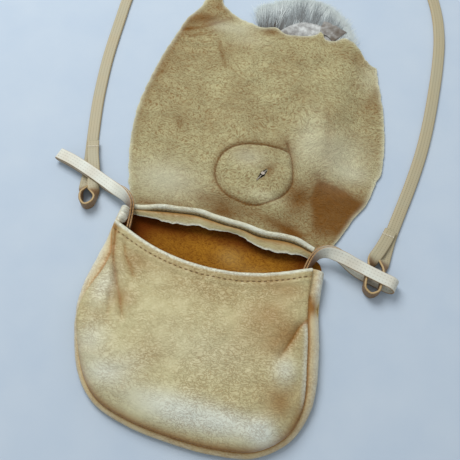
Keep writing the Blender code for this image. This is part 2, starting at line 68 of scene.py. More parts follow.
world = bpy.data.worlds.new("studio")
world.use_nodes = True
world.node_tree.nodes["Background"].inputs["Color"].default_value = (0.97, 0.985, 1.0, 1)
world.node_tree.nodes["Background"].inputs["Strength"].default_value = 0.5
bpy.context.scene.world = world


def tone(red, green, blue):
    """A colour from its values on a screen, 0 to 255."""
    parts = [value / 255 for value in (red, green, blue)]
    return (*[part / 12.92 if part <= 0.04045 else ((part + 0.055) / 1.055) ** 2.4 for part in parts], 1.0)


def finish(name, roughness, sheen=0.0):
    """A new material with its roughness and sheen set."""
    material = bpy.data.materials.new(name)
    material.use_nodes = True
    shader = material.node_tree.nodes["Principled BSDF"]
    shader.inputs["Roughness"].default_value = roughness
    shader.inputs["Sheen Weight"].default_value = sheen
    return material


def node(material, kind, sockets, **settings):
    """Add a node. A socket takes a number or colour, or (node, output) to be joined to."""
    made = material.node_tree.nodes.new(kind)
    for key, value in settings.items():
        setattr(made, key, value)
    for key, value in sockets.items():
        if isinstance(value, tuple) and isinstance(value[0], bpy.types.Node):
            material.node_tree.links.new(value[0].outputs[value[1]], made.inputs[key])
        else:
            made.inputs[key].default_value = value
    return made


def blend_colours(material, share, first, second):
    """Mix two colours, each a plain colour or (node, output), by a share of the same kind."""
    return node(material, "ShaderNodeMix", {0: share, 6: first, 7: second}, data_type="RGBA"), 2


def stretch(material, value, low, high):
    """Spread the values between low and high over 0 to 1."""
    return node(material, "ShaderNodeMapRange", {"Value": value, 1: low, 2: high}), 0


def drive(material, socket, value):
    """Join a value to one of the shader's sockets."""
    shader = material.node_tree.nodes["Principled BSDF"]
    material.node_tree.links.new(value[0].outputs[value[1]], shader.inputs[socket])


def speckle(material, scale, detail, spot=None, **more):
    """Noise that follows the piece itself, or a spot that is given."""
    spot = spot or (node(material, "ShaderNodeTexCoord", {}), "Object")
    return node(material, "ShaderNodeTexNoise", {"Vector": spot, "Scale": scale, "Detail": detail, **more}), 0


bpy.ops.mesh.primitive_plane_add(size=8)
floor = bpy.context.object
floor.name = "floor"
floor_finish = finish("floor_paint", 0.85)
stains = stretch(floor_finish, speckle(floor_finish, 22.0, 6.0), 0.3, 0.75)
floor_colour = blend_colours(floor_finish, stains, tone(182, 198, 214), tone(190, 204, 217))
drive(floor_finish, "Base Color", floor_colour)
floor.data.materials.append(floor_finish)

# Shoulder strap
# One band of pale leather, 10 mm wide and stitched in rows along its length. Each end is folded back
# on itself round a tab's loop and sewn. It runs on behind the flap, outside the view.
MM = 0.001
strap_width, strap_thickness = 10 * MM, 2.2 * MM
left_loop = [
    (-131.5, 134, 3.9, 90), (-127.5, 122, 4.6, 90), (-123.8, 113.5, 5.6, 90), (-119.7, 103, 5.6, 90),
    (-117.4, 94, 5.6, 90), (-114.2, 88.5, 5.5, 44), (-112, 83, 5.4, 0), (-112.6, 77.5, 5.4, 0),
    (-117, 74, 5.4, 0), (-121.6, 77, 5.4, 0), (-123.4, 83, 5.4, 0), (-123.8, 88.5, 4.6, 44),
    (-124.4, 94, 1.3, 90), (-125.6, 104, 1.3, 90), (-129, 118, 1.3, 90), (-132.8, 134, 1.3, 90),
]
long_run = [(x, y, 1.3, 90) for x, y in (
    (-137.5, 154), (-142, 175), (-145.5, 196), (-148.5, 218), (-150.5, 240), (-152, 263), (-153.5, 287),
    (-154, 312), (-150, 342), (-140, 371), (-123, 398), (-101, 421), (-74, 437), (-44, 446), (-13, 449),
    (18, 446), (48, 438), (76, 424), (100, 404), (118, 379), (130, 351), (137, 321), (140, 290),
    (141, 258), (141, 226), (139.5, 196), (136, 166), (131.5, 138),
)]
right_loop = [
    (127.6, 114, 1.3, 90), (126.4, 101, 1.3, 90), (125.9, 92, 1.8, 84), (126, 84, 4.9, 36),
    (126.2, 77, 6.9, 0), (126.2, 66.5, 6.9, 0), (125.2, 61.8, 5.8, 0), (120.3, 58.8, 5.4, 0),
    (115.4, 61.8, 5.8, 0), (114.3, 66.5, 6.9, 0), (114.6, 77, 6.9, 0), (116, 84.5, 6.4, -44),
    (118.6, 92, 5.0, -90), (121, 98, 4.4, -90), (124, 107, 3.9, -90), (126.6, 117, 3.9, -90),
]


def run_along(path):
    """The length run so far at each point of a path."""
    return np.concatenate([[0], np.cumsum(np.linalg.norm(np.diff(path, axis=0), axis=1))])


def headings(path):
    """The direction of a path at each of its points, one long."""
    along = np.gradient(path, axis=0)
    return along / np.linalg.norm(along, axis=1)[:, None]


def smooth_path(points, count):
    """Even points on the smooth curve that passes through the given ones."""
    knots = np.array(points, float)
    ends = np.vstack([2 * knots[0] - knots[1], knots, 2 * knots[-1] - knots[-2]])
    step = np.linspace(0, 1, 24, endpoint=False)[:, None]
    stretches = []
    for before, start, stop, after in zip(ends, ends[1:], ends[2:], ends[3:]):
        bend = 2 * before - 5 * start + 4 * stop - after
        twist = 3 * start - before - 3 * stop + after
        stretches.append(start + 0.5 * ((stop - before) * step + bend * step**2 + twist * step**3))
    dense = np.vstack(stretches + [knots[-1:]])
    run = run_along(dense[:, :3])
    even = np.linspace(0, run[-1], count)
    return np.stack([np.interp(even, run, column) for column in dense.T], axis=1)


def fade(value):
    """0 below 0, 1 above 1 and a soft step between."""
    value = np.clip(value, 0, 1)
    return value * value * (3 - 2 * value)


def add_values(piece, name, values):
    """Keep a number for each point of a mesh, for its material to read."""
    layer = piece.data.attributes.new(name, "FLOAT", "POINT")
    layer.data.foreach_set("value", np.asarray(values, float).ravel())


def add_piece(name, mesh, material):
    """Put a smooth-shaded mesh into the scene as a piece of its own."""
    mesh.shade_smooth()
    mesh.materials.append(material)
    piece = bpy.data.objects.new(name, mesh)
    bpy.context.scene.collection.objects.link(piece)
    return piece


def band(name, spots, across, normal, width, thickness, material):
    """A flat strip with rounded edges along a line of spots. Its UV map holds metres round and along."""
    soft = 0.42 * thickness
    ring = []
    for quarter, (corner_x, corner_y) in enumerate(((1, 1), (-1, 1), (-1, -1), (1, -1))):
        for turn in np.radians((90 * quarter, 90 * quarter + 45, 90 * quarter + 90)):
            ring.append((
                corner_x * (width / 2 - soft) + soft * math.cos(turn),
                corner_y * (thickness / 2 - soft) + soft * math.sin(turn),
            ))
        if corner_x == corner_y:
            ring += [(corner_x * share * width / 2, corner_y * thickness / 2) for share in (0.5, 0, -0.5)]
    ring = np.array(ring)
    sides = len(ring)
    points = spots[:, None] + ring[None, :, :1] * across[:, None] + ring[None, :, 1:] * normal[:, None]
    faces = []
    for row in range(len(spots) - 1):
        for side in range(sides):
            after = (side + 1) % sides
            here, ahead = row * sides, (row + 1) * sides
            faces.append((here + side, ahead + side, ahead + after, here + after))
    last = (len(spots) - 1) * sides
    faces += [tuple(range(sides)), tuple(last + side for side in reversed(range(sides)))]
    mesh = bpy.data.meshes.new(name)
    mesh.from_pydata(points.reshape(-1, 3).tolist(), [], faces)
    shape = bmesh.new()
    shape.from_mesh(mesh)
    bmesh.ops.recalc_face_normals(shape, faces=shape.faces[:])
    run = run_along(spots)
    chart = shape.loops.layers.uv.new("UVMap")
    for face in shape.faces:
        for loop in face.loops:
            row, side = divmod(loop.vert.index, sides)
            loop[chart].uv = (ring[side, 0] + 0.5 * width, run[row])
    shape.to_mesh(mesh)
    shape.free()
    return add_piece(name, mesh, material)


def lay_directions(stations):
    """Spots in metres, with the strip's width direction and face direction at each, from its tilt."""
    spots = stations[:, :3] * MM
    along = headings(spots)
    side = np.cross(along, [0, 0, 1])
    side /= np.linalg.norm(side, axis=1)[:, None]
    up = np.cross(side, along)
    tilt = np.radians(stations[:, 3:4])
    return spots, np.cos(tilt) * up + np.sin(tilt) * side, np.cos(tilt) * side - np.sin(tilt) * up


def maths(material, operation, *values):
    """Work out one number from others."""
    return node(material, "ShaderNodeMath", dict(enumerate(values)), operation=operation), 0


def relief(material, height, strength, depth, under=None, **how):
    """A bump of a real depth, laid over another one if that is given."""
    sockets = {"Height": height, "Strength": strength, "Distance": depth}
    if under:
        sockets["Normal"] = under
    return node(material, "ShaderNodeBump", sockets, **how), 0


def strip_leather(name, face, edge, hole, row_gap, pitch, width, line_depth):
    """Smooth leather with rows of fine stitches, darker at its cut edges."""
    material = finish(name, 0.55)
    chart = node(material, "ShaderNodeUVMap", {})
    parts = node(material, "ShaderNodeSeparateXYZ", {"Vector": (chart, 0)})

    def waves(output, size):
        """A wave of a given length across or along the strip, from -1 to 1."""
        return maths(material, "COSINE", maths(material, "MULTIPLY", (parts, output), 2 * math.pi / size))

    rows = stretch(material, waves("X", row_gap), 0.86, 0.99)
    steps = stretch(material, waves("Y", pitch), 0.0, 0.55)
    stitches = maths(material, "MULTIPLY", rows, steps)
    side = maths(material, "ABSOLUTE", maths(material, "SUBTRACT", (parts, "X"), width / 2))
    rim = stretch(material, side, 0.44 * width, 0.5 * width)
    colour = blend_colours(material, stretch(material, speckle(material, 60.0, 5.0), 0.35, 0.7), face, edge)
    colour = blend_colours(material, 0.25, face, colour)
    # Painted shade: browner where the piece's shade value is set
    shade = node(material, "ShaderNodeAttribute", {}, attribute_name="shade")
    colour = blend_colours(material, (shade, "Fac"), colour, tone(120, 74, 26))
    colour = blend_colours(material, rim, colour, edge)
    holes = maths(material, "MULTIPLY", stitches, line_depth)
    drive(material, "Base Color", blend_colours(material, holes, colour, hole))
    fine = relief(material, speckle(material, 1400.0, 3.0), 0.4, 0.15 * MM)
    drive(material, "Normal", relief(material, stitches, 0.7, 0.35 * MM, fine, invert=True))
    return material


strap_skin = strip_leather(
    "strap_skin", tone(172, 165, 136), tone(186, 160, 112), tone(88, 72, 48), 2.4 * MM, 2.0 * MM,
    strap_width, 0.6,
)
strap_stations = 900
stations = smooth_path(left_loop + long_run + right_loop, strap_stations)
# No station lies so low that the band's edge would reach the floor
tilt = np.radians(stations[:, 3])
lowest = 0.15 + 0.5 * (strap_width * np.abs(np.cos(tilt)) + strap_thickness * np.abs(np.sin(tilt))) / MM
stations[:, 2] = np.maximum(stations[:, 2], lowest)
spots, across, normal = lay_directions(stations)
strap = band("strap_band", spots, across, normal, strap_width, strap_thickness, strap_skin)
# Painted shade: the loops are browner where the band stands on edge and its face turns from the light
edge_on_shade = 0.75 * fade((80 - np.abs(stations[:, 3])) / 40)
add_values(strap, "shade", np.repeat(edge_on_shade, len(strap.data.vertices) // strap_stations))
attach(strap, "pouch_body")
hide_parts("shoulder_strap")


def thread_bars(name, ends, radius, material, body):
    """Short stitches of thread, each a tapered bar between two points, in one mesh."""
    shape = bmesh.new()
    for start, stop in ends:
        start, stop = Vector(start), Vector(stop)
        turned = (stop - start).to_track_quat("Z", "Y").to_matrix().to_4x4()
        turned.translation = (start + stop) / 2
        made = bmesh.ops.create_uvsphere(shape, u_segments=6, v_segments=5, radius=radius, matrix=turned)
        reach = (stop - start).length / 2
        heading = (stop - start).normalized()
        middle = (start + stop) / 2
        for corner in made["verts"]:
            level = (corner.co - middle).dot(heading)
            corner.co += heading * (level / radius) * (reach - radius)
    mesh = bpy.data.meshes.new(name)
    shape.to_mesh(mesh)
    shape.free()
    piece = add_piece(name, mesh, material)
    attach(piece, body)
    return piece


cream_thread = finish("cream_thread", 0.7)
cream_thread.node_tree.nodes["Principled BSDF"].inputs["Base Color"].default_value = tone(226, 220, 200)
drive(cream_thread, "Normal", relief(cream_thread, speckle(cream_thread, 2600.0, 2.0), 0.5, 0.1 * MM))
# The bars that hold each folded-back end down: (middle of the row, height, strap's heading there)
bar_half = 0.9
bars = []
for spot, level, heading in (((-129.5, 128.5), 5.6, 108), ((125.2, 112), 5.1, 79)):
    along = np.array([math.cos(math.radians(heading)), math.sin(math.radians(heading))])
    aside = np.array([-along[1], along[0]])
    for shift in np.arange(-4.2, 4.3, 1.2):
        middle = np.array(spot) + aside * shift
        bars.append([(*((middle + along * reach) * MM), level * MM) for reach in (-bar_half, bar_half)])
end_stitches = thread_bars("strap_end_stitches", bars, 0.3 * MM, cream_thread, "pouch_body")

# Back panel
# One piece of leather that the pouch lies on, grain side down. Its top edge is turned up along the
# mouth's back seam and curls over into the pouch as the lower of two lips.
body_width, body_drop, mouth_y = 189 * MM, 171 * MM, 86 * MM
leather = 1.6 * MM
lip_ends = (-77.4 * MM, 70.6 * MM)
body_pattern = [
    (-0.905, 0.00), (-0.957, 0.26), (-1.00, 0.44), (-0.968, 0.60), (-0.83, 0.80),
    (-0.62, 0.925), (-0.32, 0.98), (0.02, 1.00), (0.35, 1.00), (0.66, 0.97),
    (0.88, 0.88), (0.98, 0.765), (1.00, 0.64), (0.955, 0.46), (0.883, 0.27), (0.852, 0.00),
]
back_lip = [
    (-14.0, 0.8), (-8.0, 0.9), (-3.6, 1.5), (-1.7, 3.2), (-1.2, 5.6), (-1.5, 8.2), (-3.2, 9.8),
    (-5.6, 9.5), (-8.4, 8.2),
]
seam_knots = [
    (-90, -5.5), (-67, -3.8), (-51, -1.0), (-30, 2.0), (-17, 1.5), (-2, 0.0), (12, -0.4), (27, -2.8),
    (47, -1.3), (59, -2.4), (71, -4.8), (90, -5.5),
]
lip_knots = [
    (-80, 0.35), (-68, 0.6), (-48, 1.05), (-35, 1.25), (-17, 0.95), (4, 0.45), (12, 0.5), (28, 1.0),
    (38, 1.3), (50, 1.25), (61, 0.8), (75, 0.4),
]


def course(x, knots):
    """A smooth value along x, from knots in millimetres."""
    line = smooth_path(knots, 400)
    return np.interp(x / MM, line[:, 0], line[:, 1])


def at_fractions(path, fractions):
    """Points of a path at the given shares of its length."""
    run = run_along(path)
    return np.stack([np.interp(np.array(fractions) * run[-1], run, column) for column in path.T], axis=1)


def patch(south, north, west, east, across, up):
    """Rows of points that fill a four-sided outline evenly."""
    south, north = at_fractions(south, across), at_fractions(north, across)
    west, east = at_fractions(west, up), at_fractions(east, up)
    u = np.array(across)[:, None, None]
    v = np.array(up)[None, :, None]
    low = (1 - u) * south[0] + u * south[-1]
    high = (1 - u) * north[0] + u * north[-1]
    sides = (1 - u) * west[None] + u * east[None]
    return (1 - v) * south[:, None] + v * north[:, None] + sides - (1 - v) * low - v * high


def side_share(y):
    """0 along the round bottom, 1 up the straight sides."""
    return fade((y - mouth_y + body_drop - 0.06 * body_drop) / (0.42 * body_drop))


def inward(path):
    """The direction square to a path, to its left, at each of its points."""
    along = headings(path)
    return np.stack([-along[:, 1], along[:, 0]], axis=1)


def body_outline(inset, count=961):
    """The pouch's outline from the left mouth corner round to the right one, drawn in by a rule."""
    pattern = [(u * body_width / 2, mouth_y - v * body_drop) for u, v in body_pattern]
    path = smooth_path(pattern, count)
    return path + inward(path) * inset(path)[:, None]


def cut_outline(path, top):
    """Split an outline, below a height, into bottom, left side and right side."""
    half = len(path) // 2
    whole = np.vstack([path[:half][path[:half, 1] <= top], path[half:][path[half:, 1] <= top]])
    turn = round(0.30 * len(whole))
    return whole[turn:len(whole) - turn], whole[:turn + 1][::-1], whole[len(whole) - turn - 1:]


def seam_y(x):
    """The mouth's back seam wanders between the corners."""
    return mouth_y + MM * course(x, seam_knots)


def spots_of(points, spots):
    """Soft round patches of a painted value: (middle x, y, radius x, y in millimetres, strength)."""
    total = np.zeros(points.shape[:-1])
    for x, y, wide, tall, strength in spots:
        total += strength * np.exp(
            -((points[..., 0] / MM - x) / wide) ** 2 - ((points[..., 1] / MM - y) / tall) ** 2
        )
    return total


def wander(material, spot, scale, reach):
    """Object coordinates pushed about by a slow noise, so that a texture doesn't run straight."""
    drift = speckle(material, scale, 3.0, spot)[0], 1
    shift = node(material, "ShaderNodeVectorMath", {0: drift, 1: (reach, reach, reach)}, operation="MULTIPLY")
    return node(material, "ShaderNodeVectorMath", {0: spot, 1: (shift, 0)}, operation="ADD"), 0


def painted(material, colour, deep, glow, side=""):
    """Deepen and lighten a colour where the piece's shade and glow are painted."""
    shade = node(material, "ShaderNodeAttribute", {}, attribute_name=side + "shade")
    light = node(material, "ShaderNodeAttribute", {}, attribute_name=side + "glow")
    colour = blend_colours(material, (shade, "Fac"), colour, deep)
    return blend_colours(material, (light, "Fac"), colour, glow)


def grain_leather(name, pale, deep, glow, roughness, wrinkle=0.4, side=""):
    """Grain leather with fine wrinkles that cross it like waves, and a pebbled grain between them."""
    material = finish(name, roughness)
    spot = node(material, "ShaderNodeTexCoord", {}), "Object"
    cloud = speckle(material, 26.0, 6.0, spot, Roughness=0.6)
    bent = wander(material, spot, 70.0, 0.010)
    folds = node(material, "ShaderNodeMapping", {
        "Vector": bent, "Rotation": (0, 0, 0.1), "Scale": (1, 2.1, 1),
    }), 0
    waves = speckle(material, 330.0, 3.0, folds, Roughness=0.5, Distortion=0.5)
    ridge = stretch(material, maths(material, "ABSOLUTE", maths(material, "SUBTRACT", waves, 0.5)), 0.0, 0.06)
    calm = stretch(material, cloud, 0.3, 0.62)
    cells = node(material, "ShaderNodeTexVoronoi", {"Vector": bent, "Scale": 560.0}, feature="SMOOTH_F1"), 0
    hollow = maths(material, "MULTIPLY", maths(material, "SUBTRACT", 1.0, ridge), calm)
    tint = maths(material, "MULTIPLY", hollow, wrinkle)
    colour = blend_colours(material, stretch(material, cloud, 0.4, 0.7), pale, deep)
    colour = painted(material, blend_colours(material, 0.22, pale, colour), deep, glow, side)
    drive(material, "Base Color", blend_colours(material, tint, colour, deep))
    fine = relief(material, cells, 0.28, 0.5 * MM, invert=True)
    drive(material, "Normal", relief(material, hollow, 0.55, 0.7 * MM, fine, invert=True))
    return material


def napped_suede(name, pale, deep, glow, fibre=0.5, sheen=0.1):
    """Suede: a short nap in fine flecks that lie this way and that."""
    material = finish(name, 0.95, sheen)
    material.node_tree.nodes["Principled BSDF"].inputs["Specular IOR Level"].default_value = 0.12
    spot = node(material, "ShaderNodeTexCoord", {}), "Object"
    cloud = speckle(material, 32.0, 7.0, spot, Roughness=0.65)
    lain = node(material, "ShaderNodeMapping", {
        "Vector": wander(material, spot, 26.0, 0.03), "Rotation": (0, 0, 0.35), "Scale": (1, 1.7, 1),
    }), 0
    nap = speckle(material, 860.0, 4.0, lain, Roughness=0.62, Distortion=0.5)
    tufts = speckle(material, 430.0, 2.0, lain, Distortion=0.6)
    mixed = maths(material, "ADD", nap, tufts)
    specks = maths(material, "MULTIPLY", stretch(material, mixed, 1.1, 0.78), 0.62)
    colour = blend_colours(material, stretch(material, cloud, 0.42, 0.72), pale, deep)
    colour = blend_colours(material, 0.4, pale, colour)
    colour = blend_colours(material, specks, colour, deep)
    drive(material, "Base Color", painted(material, colour, deep, glow))
    drive(material, "Normal", relief(material, mixed, fibre, 1.2 * MM))
    return material


def cut_edge(name, pale, deep):
    """The fibrous edge of cut leather."""
    material = finish(name, 0.9)
    fibres = speckle(material, 700.0, 4.0)
    drive(material, "Base Color", blend_colours(material, stretch(material, fibres, 0.35, 0.65), deep, pale))
    drive(material, "Normal", relief(material, fibres, 0.6, 0.3 * MM))
    return material


def leather_sheet(name, points, thickness, face, reverse, edge, values, rounding=0.35):
    """A cut sheet: a grid laid on its middle surface, walled by Solidify, its cut edges rounded."""
    rows, columns = points.shape[:2]
    bpy.ops.object.select_all(action="DESELECT")
    bpy.ops.mesh.primitive_grid_add(x_subdivisions=rows - 1, y_subdivisions=columns - 1, size=2)
    piece = bpy.context.object
    piece.name = name
    count = len(piece.data.vertices)
    flat = np.empty(count * 3)
    piece.data.vertices.foreach_get("co", flat)
    flat = flat.reshape(-1, 3)
    row = np.rint((flat[:, 0] + 1) / 2 * (rows - 1)).astype(int)
    column = np.rint((flat[:, 1] + 1) / 2 * (columns - 1)).astype(int)
    piece.data.vertices.foreach_set("co", points[row, column].ravel())
    for label, number in values.items():
        add_values(piece, label, np.broadcast_to(np.clip(number, 0, 0.92), points.shape[:2])[row, column])
    for material in (face, reverse, edge):
        piece.data.materials.append(material)
    wall = piece.modifiers.new("wall", "SOLIDIFY")
    wall.thickness = thickness
    wall.offset = 0
    wall.material_offset = 1
    wall.material_offset_rim = 2
    soften = piece.modifiers.new("soften", "BEVEL")
    soften.width = rounding * thickness
    soften.segments = 2
    soften.limit_method = "ANGLE"
    soften.angle_limit = math.radians(60)
    soften.use_clamp_overlap = True
    for step in ("wall", "soften"):
        bpy.ops.object.modifier_apply(modifier=step)
    bpy.ops.object.shade_smooth()
    return piece


def rumple(spots, octaves=3, softness=0.9):
    """A smooth uneven value, about -1 to 1, at each of the given spots."""
    return np.array([noise.fractal(Vector(spot), softness, 2.0, octaves) for spot in spots])


def waver(points, size, strength, seed):
    """Soft uneven rise and fall over a sheet, in metres."""
    values = rumple((x / size, y / size, seed) for x, y in points[..., :2].reshape(-1, 2))
    return strength * values.reshape(points.shape[:2])


grain_tones = (tone(196, 189, 142), tone(146, 98, 22), tone(226, 232, 218))
tan_grain = grain_leather("tan_grain", *grain_tones, 0.5)
inner_suede = napped_suede("inner_suede", tone(170, 118, 34), tone(92, 36, 0), tone(190, 160, 96), 0.5, 0.0)
cream_edge = cut_edge("cream_edge", tone(220, 214, 186), tone(176, 146, 92))
rim = body_outline(lambda path: np.full(len(path), 0.4 * MM))
flat_top = mouth_y + (back_lip[0][0] - 4) * MM
flat_rows, lip_rows = 70, 44
south, west, east = cut_outline(rim, flat_top)
across_share = np.linspace(0, 1, 141)
x = west[-1, 0] + (east[-1, 0] - west[-1, 0]) * across_share
north = np.column_stack([x, np.full(len(x), flat_top)])
flat = patch(south, north, west, east, across_share, np.linspace(0, 1, flat_rows))
level = leather / 2 + np.clip(waver(flat, 18 * MM, 0.5 * MM, 4.2), 0, None)
# The flat back, and then the lower lip from there up over its fold to its free edge
rows = [np.dstack([flat, level])]
lip_x = lip_ends[0] + (lip_ends[1] - lip_ends[0]) * across_share
lip_wide = course(lip_x, lip_knots)
lip_end = fade((lip_x - lip_ends[0]) / (14 * MM)) * fade((lip_ends[1] - lip_x) / (14 * MM))
lip_section = smooth_path([(reach, level, index) for index, (reach, level) in enumerate(back_lip)], lip_rows)
droop = rumple((value / (9 * MM), 3.1, 0.4) for value in lip_x)
for reach, level, index in lip_section:
    row_x = x + (lip_x - x) * fade((index + 1) / 4)
    curl = fade((index - 5) / 3)
    reach = np.where(index > 5, -1.5 + (reach + 1.5) * lip_wide - 0.9 * curl * droop, reach)
    y = mouth_y + (seam_y(row_x) - mouth_y) * fade(index / 2.5) + reach * MM
    height = level - curl * (0.7 + 0.9 * droop) - 1.6 * (1 - lip_end) * fade((index - 2) / 3)
    rows.append(np.column_stack([row_x, y, height * MM])[:, None])
points = np.concatenate(rows, axis=1)
row_index = np.concatenate([np.full(flat_rows, -1.0), lip_section[:, 2]])
inside = row_index < 4.5
# Painted shade in the pocket's corners, under the lips and up the turned-up base; painted light in lit
# patches of the pocket. On the lip, painted shade down its face into the groove and a painted highlight along
# its free edge
pocket_shadows = [
    (-72, 60, 18, 40, 0.85), (-45, 74, 22, 8, 0.6), (20, 76, 50, 7, 0.8), (66, 66, 10, 14, 0.7),
    (-30, 52, 30, 10, 0.25),
]
pocket_lights = [(8, 62, 10, 7, 0.35), (30, 54, 16, 6, 0.25)]
pocket_shade = spots_of(points, pocket_shadows) + 0.6 * fade((row_index - 0.5) / 2)
back_values = {
    "shade": np.where(inside, pocket_shade, 0.75 * (1 - fade((row_index - 5.5) / 1.6)) + 0.12),
    "glow": np.where(inside, spots_of(points, pocket_lights), 0.75 * fade((row_index - 7.3) / 0.6)),
}
# The grid's own face is the pouch's inside here; past the lip's fold the grain side shows
back_panel = leather_sheet("back_leather", points, leather, inner_suede, tan_grain, cream_edge, back_values)
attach(back_panel, "pouch_body")
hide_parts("back_panel")

# Gusset
# The narrow strip of leather between front and back, from one mouth corner round to the other. It
# rolls out past the front's seam like piping. Its left end is crumpled and its right end puffed.
gusset_leather = 1.2 * MM
side_seam_z, bottom_seam_z = 12.5 * MM, 6.6 * MM


def near(value, width):
    """1 where a value is 0, and less the further it is from 0, for a width in millimetres."""
    return np.exp(-(value / (width * MM)) ** 2)


def seam_height(y):
    """How high the front is sewn on, by how far up the sides."""
    return bottom_seam_z + (side_seam_z - bottom_seam_z) * side_share(y)


def seam_inset(path):
    """How far inside the pouch's outline the front is sewn on: nearly on it at the left corner."""
    side = side_share(path[:, 1])
    left = path[:, 0] < 0
    corner = fade((path[:, 1] - 38 * MM) / (24 * MM)) * left
    bulge = 3.4 * MM * near(path[:, 1] + 25 * MM, 32) * left * side
    deep = 8.5 + 2.8 * near(path[:, 1] - 26 * MM, 18) * left
    return (3.4 + (deep - 3.4) * side) * MM * (1 - corner) + 1.8 * MM * corner - bulge


path = body_outline(lambda path: np.zeros(len(path)))
path = path[np.where(path[:, 0] < 0, path[:, 1] < 79 * MM, path[:, 1] < 66 * MM)]
path = at_fractions(path, np.linspace(0, 1, 460))
into_pouch = inward(path)
side = side_share(path[:, 1])
left_end = fade((path[:, 1] - 60 * MM) / (9 * MM)) * (path[:, 0] < 0)
right_end = fade((path[:, 1] - 42 * MM) / (6 * MM)) * (path[:, 0] > 0)
gap = near(path[:, 1] - 36 * MM, 6.5) * (path[:, 0] > 0)
inset = seam_inset(path)
top = seam_height(path[:, 1]) + 1.6 * MM * left_end
foot = leather + 0.3 * MM + gusset_leather / 2
section = smooth_path([(0, 0), (-0.04, 0.22), (0.10, 0.56), (0.50, 0.86), (1.0, 1.0)], 19)
pucker = rumple(((index * 0.13, 1.7, 0.2) for index in range(len(path))), 2)
crumple = rumple(((index * 0.45, 5.2, 0.7) for index in range(len(path))), 3, 0.8)
rows, painted_shade_rows, painted_highlight_rows = [], [], []
for share, rise in section:
    hump = math.sin(math.pi * min(max(rise, 0), 1))
    swell = 0.3 * MM * pucker * hump * (0.4 + side)
    spot = path + into_pouch * (inset * share + swell)[:, None]
    puffed = 1.6 * right_end - 3.6 * gap * (rise > 0.3) + 0.8 * crumple * left_end
    height = foot + (top - foot) * rise + puffed * hump * MM
    rows.append(np.column_stack([spot, height]))
    # Painted shade in the groove beside the front's seam, towards the bottom and in the sunken gap under the
    # right end; painted highlights along the roll's crest and on both ends
    groove = 0.85 * fade((share - 0.62) / 0.3) * (1 - right_end) * (1 - left_end)
    painted_shade_rows.append(groove + 0.18 * (1 - side) + 0.95 * gap * fade((share - 0.1) / 0.4))
    painted_highlight_rows.append(
        0.6 * hump * side * (1 - gap) + 0.35 * (1 - side) * hump * (0.6 + 0.4 * pucker)
        + 0.35 * right_end * hump + 0.6 * left_end
    )
for turn in np.linspace(0.15, 1, 8):
    flange = 0.9 * MM + 5.5 * MM * left_end
    fall = 2.4 * left_end * math.sin(math.pi * turn) + 1.4 * crumple * left_end - 2.5 * turn**2 * left_end
    rows.append(np.column_stack([path + into_pouch * (inset + flange * turn)[:, None], top + fall * MM]))
    # Painted shade on the edge turned into the pouch and in the crumples' hollows; a painted highlight on the
    # crumpled left end
    painted_shade_rows.append(0.6 * (1 - left_end) + 0.3 * np.clip(-crumple, 0, 1) * left_end)
    painted_highlight_rows.append(0.9 * left_end)
gusset_grain = grain_leather(
    "gusset_grain", tone(208, 190, 138), tone(170, 112, 26), tone(226, 230, 216), 0.45,
)
gusset_values = {"shade": np.stack(painted_shade_rows), "glow": np.stack(painted_highlight_rows)}
gusset = leather_sheet(
    "gusset_leather", np.stack(rows), gusset_leather, inner_suede, gusset_grain, cream_edge, gusset_values,
)
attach(gusset, "pouch_body")
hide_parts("gusset")

# Front panel
# One piece of supple leather, puffed over the pocket and rolled over its seam along the sides and
# bottom. Its scooped top edge is folded in and stitched down as a hem.
crown_z, hem_z, hem_drop, hem_dip, hem_fold = 20.5 * MM, 15 * MM, 22 * MM, 20 * MM, 10 * MM


def hem_curve(left, right, count=241):
    """The scooped top edge of the front panel."""
    share = np.linspace(0, 1, count)[:, None]
    line = left + (right - left) * share
    line[:, 1] -= hem_dip * 4 * share[:, 0] * (1 - share[:, 0])
    return line


def valley(points, line, depth, width, fade_out=0.6):
    """A soft valley along a line of points in millimetres, as a drop in height."""
    line = np.array(line, float) * MM
    best = np.full(points.shape[:2], np.inf)
    share_at = np.zeros(points.shape[:2])
    for index, (start, stop) in enumerate(zip(line, line[1:])):
        reach = stop - start
        share = np.clip(((points[..., :2] - start) @ reach) / (reach @ reach), 0, 1)
        away = np.linalg.norm(points[..., :2] - start - share[..., None] * reach, axis=-1)
        nearer = away < best
        best = np.where(nearer, away, best)
        share_at = np.where(nearer, (index + share) / (len(line) - 1), share_at)
    return depth * MM * near(best, width) * (1 - fade_out * share_at)


rim = body_outline(lambda path: seam_inset(path) + 0.3 * MM)
south, west, east = cut_outline(rim, mouth_y - hem_drop)
# The grid is closer along its rim, where the leather rolls over
close = list(np.linspace(0, 1, 26) ** 1.6 * 0.13)
far_close = [1 - share for share in reversed(close)]
across_share = np.array(close + list(np.linspace(0.136, 0.864, 120)) + far_close)
up_share = np.array(close + list(np.linspace(0.136, 1, 112)))
flat = patch(south, hem_curve(west[-1], east[-1]), west, east, across_share, up_share)
# How far each grid point is from the seam, and its nearest spot there
seam = np.vstack([west[::-1], south[1:-1], east])[::3]
away = np.full(flat.shape[:2], np.inf)
nearest = np.zeros(flat.shape)
for spot in seam:
    reach = np.linalg.norm(flat - spot, axis=-1)
    closer = reach < away
    away = np.where(closer, reach, away)
    nearest = np.where(closer[..., None], spot, nearest)
below_hem = np.clip(flat[:, -1:, 1] - flat[..., 1], 0, None)
# The height rises from the seam to the crown and sinks again towards the hem
base = seam_height(nearest[..., 1]) + 0.5 * (leather + gusset_leather) + 0.3 * MM
full = 1 - np.exp(-away / (10 * MM))
height = base + (crown_z - leather / 2 - base) * full
height -= (crown_z - hem_z) * near(below_hem, 40) * full**2
inside = fade(away / (8 * MM))
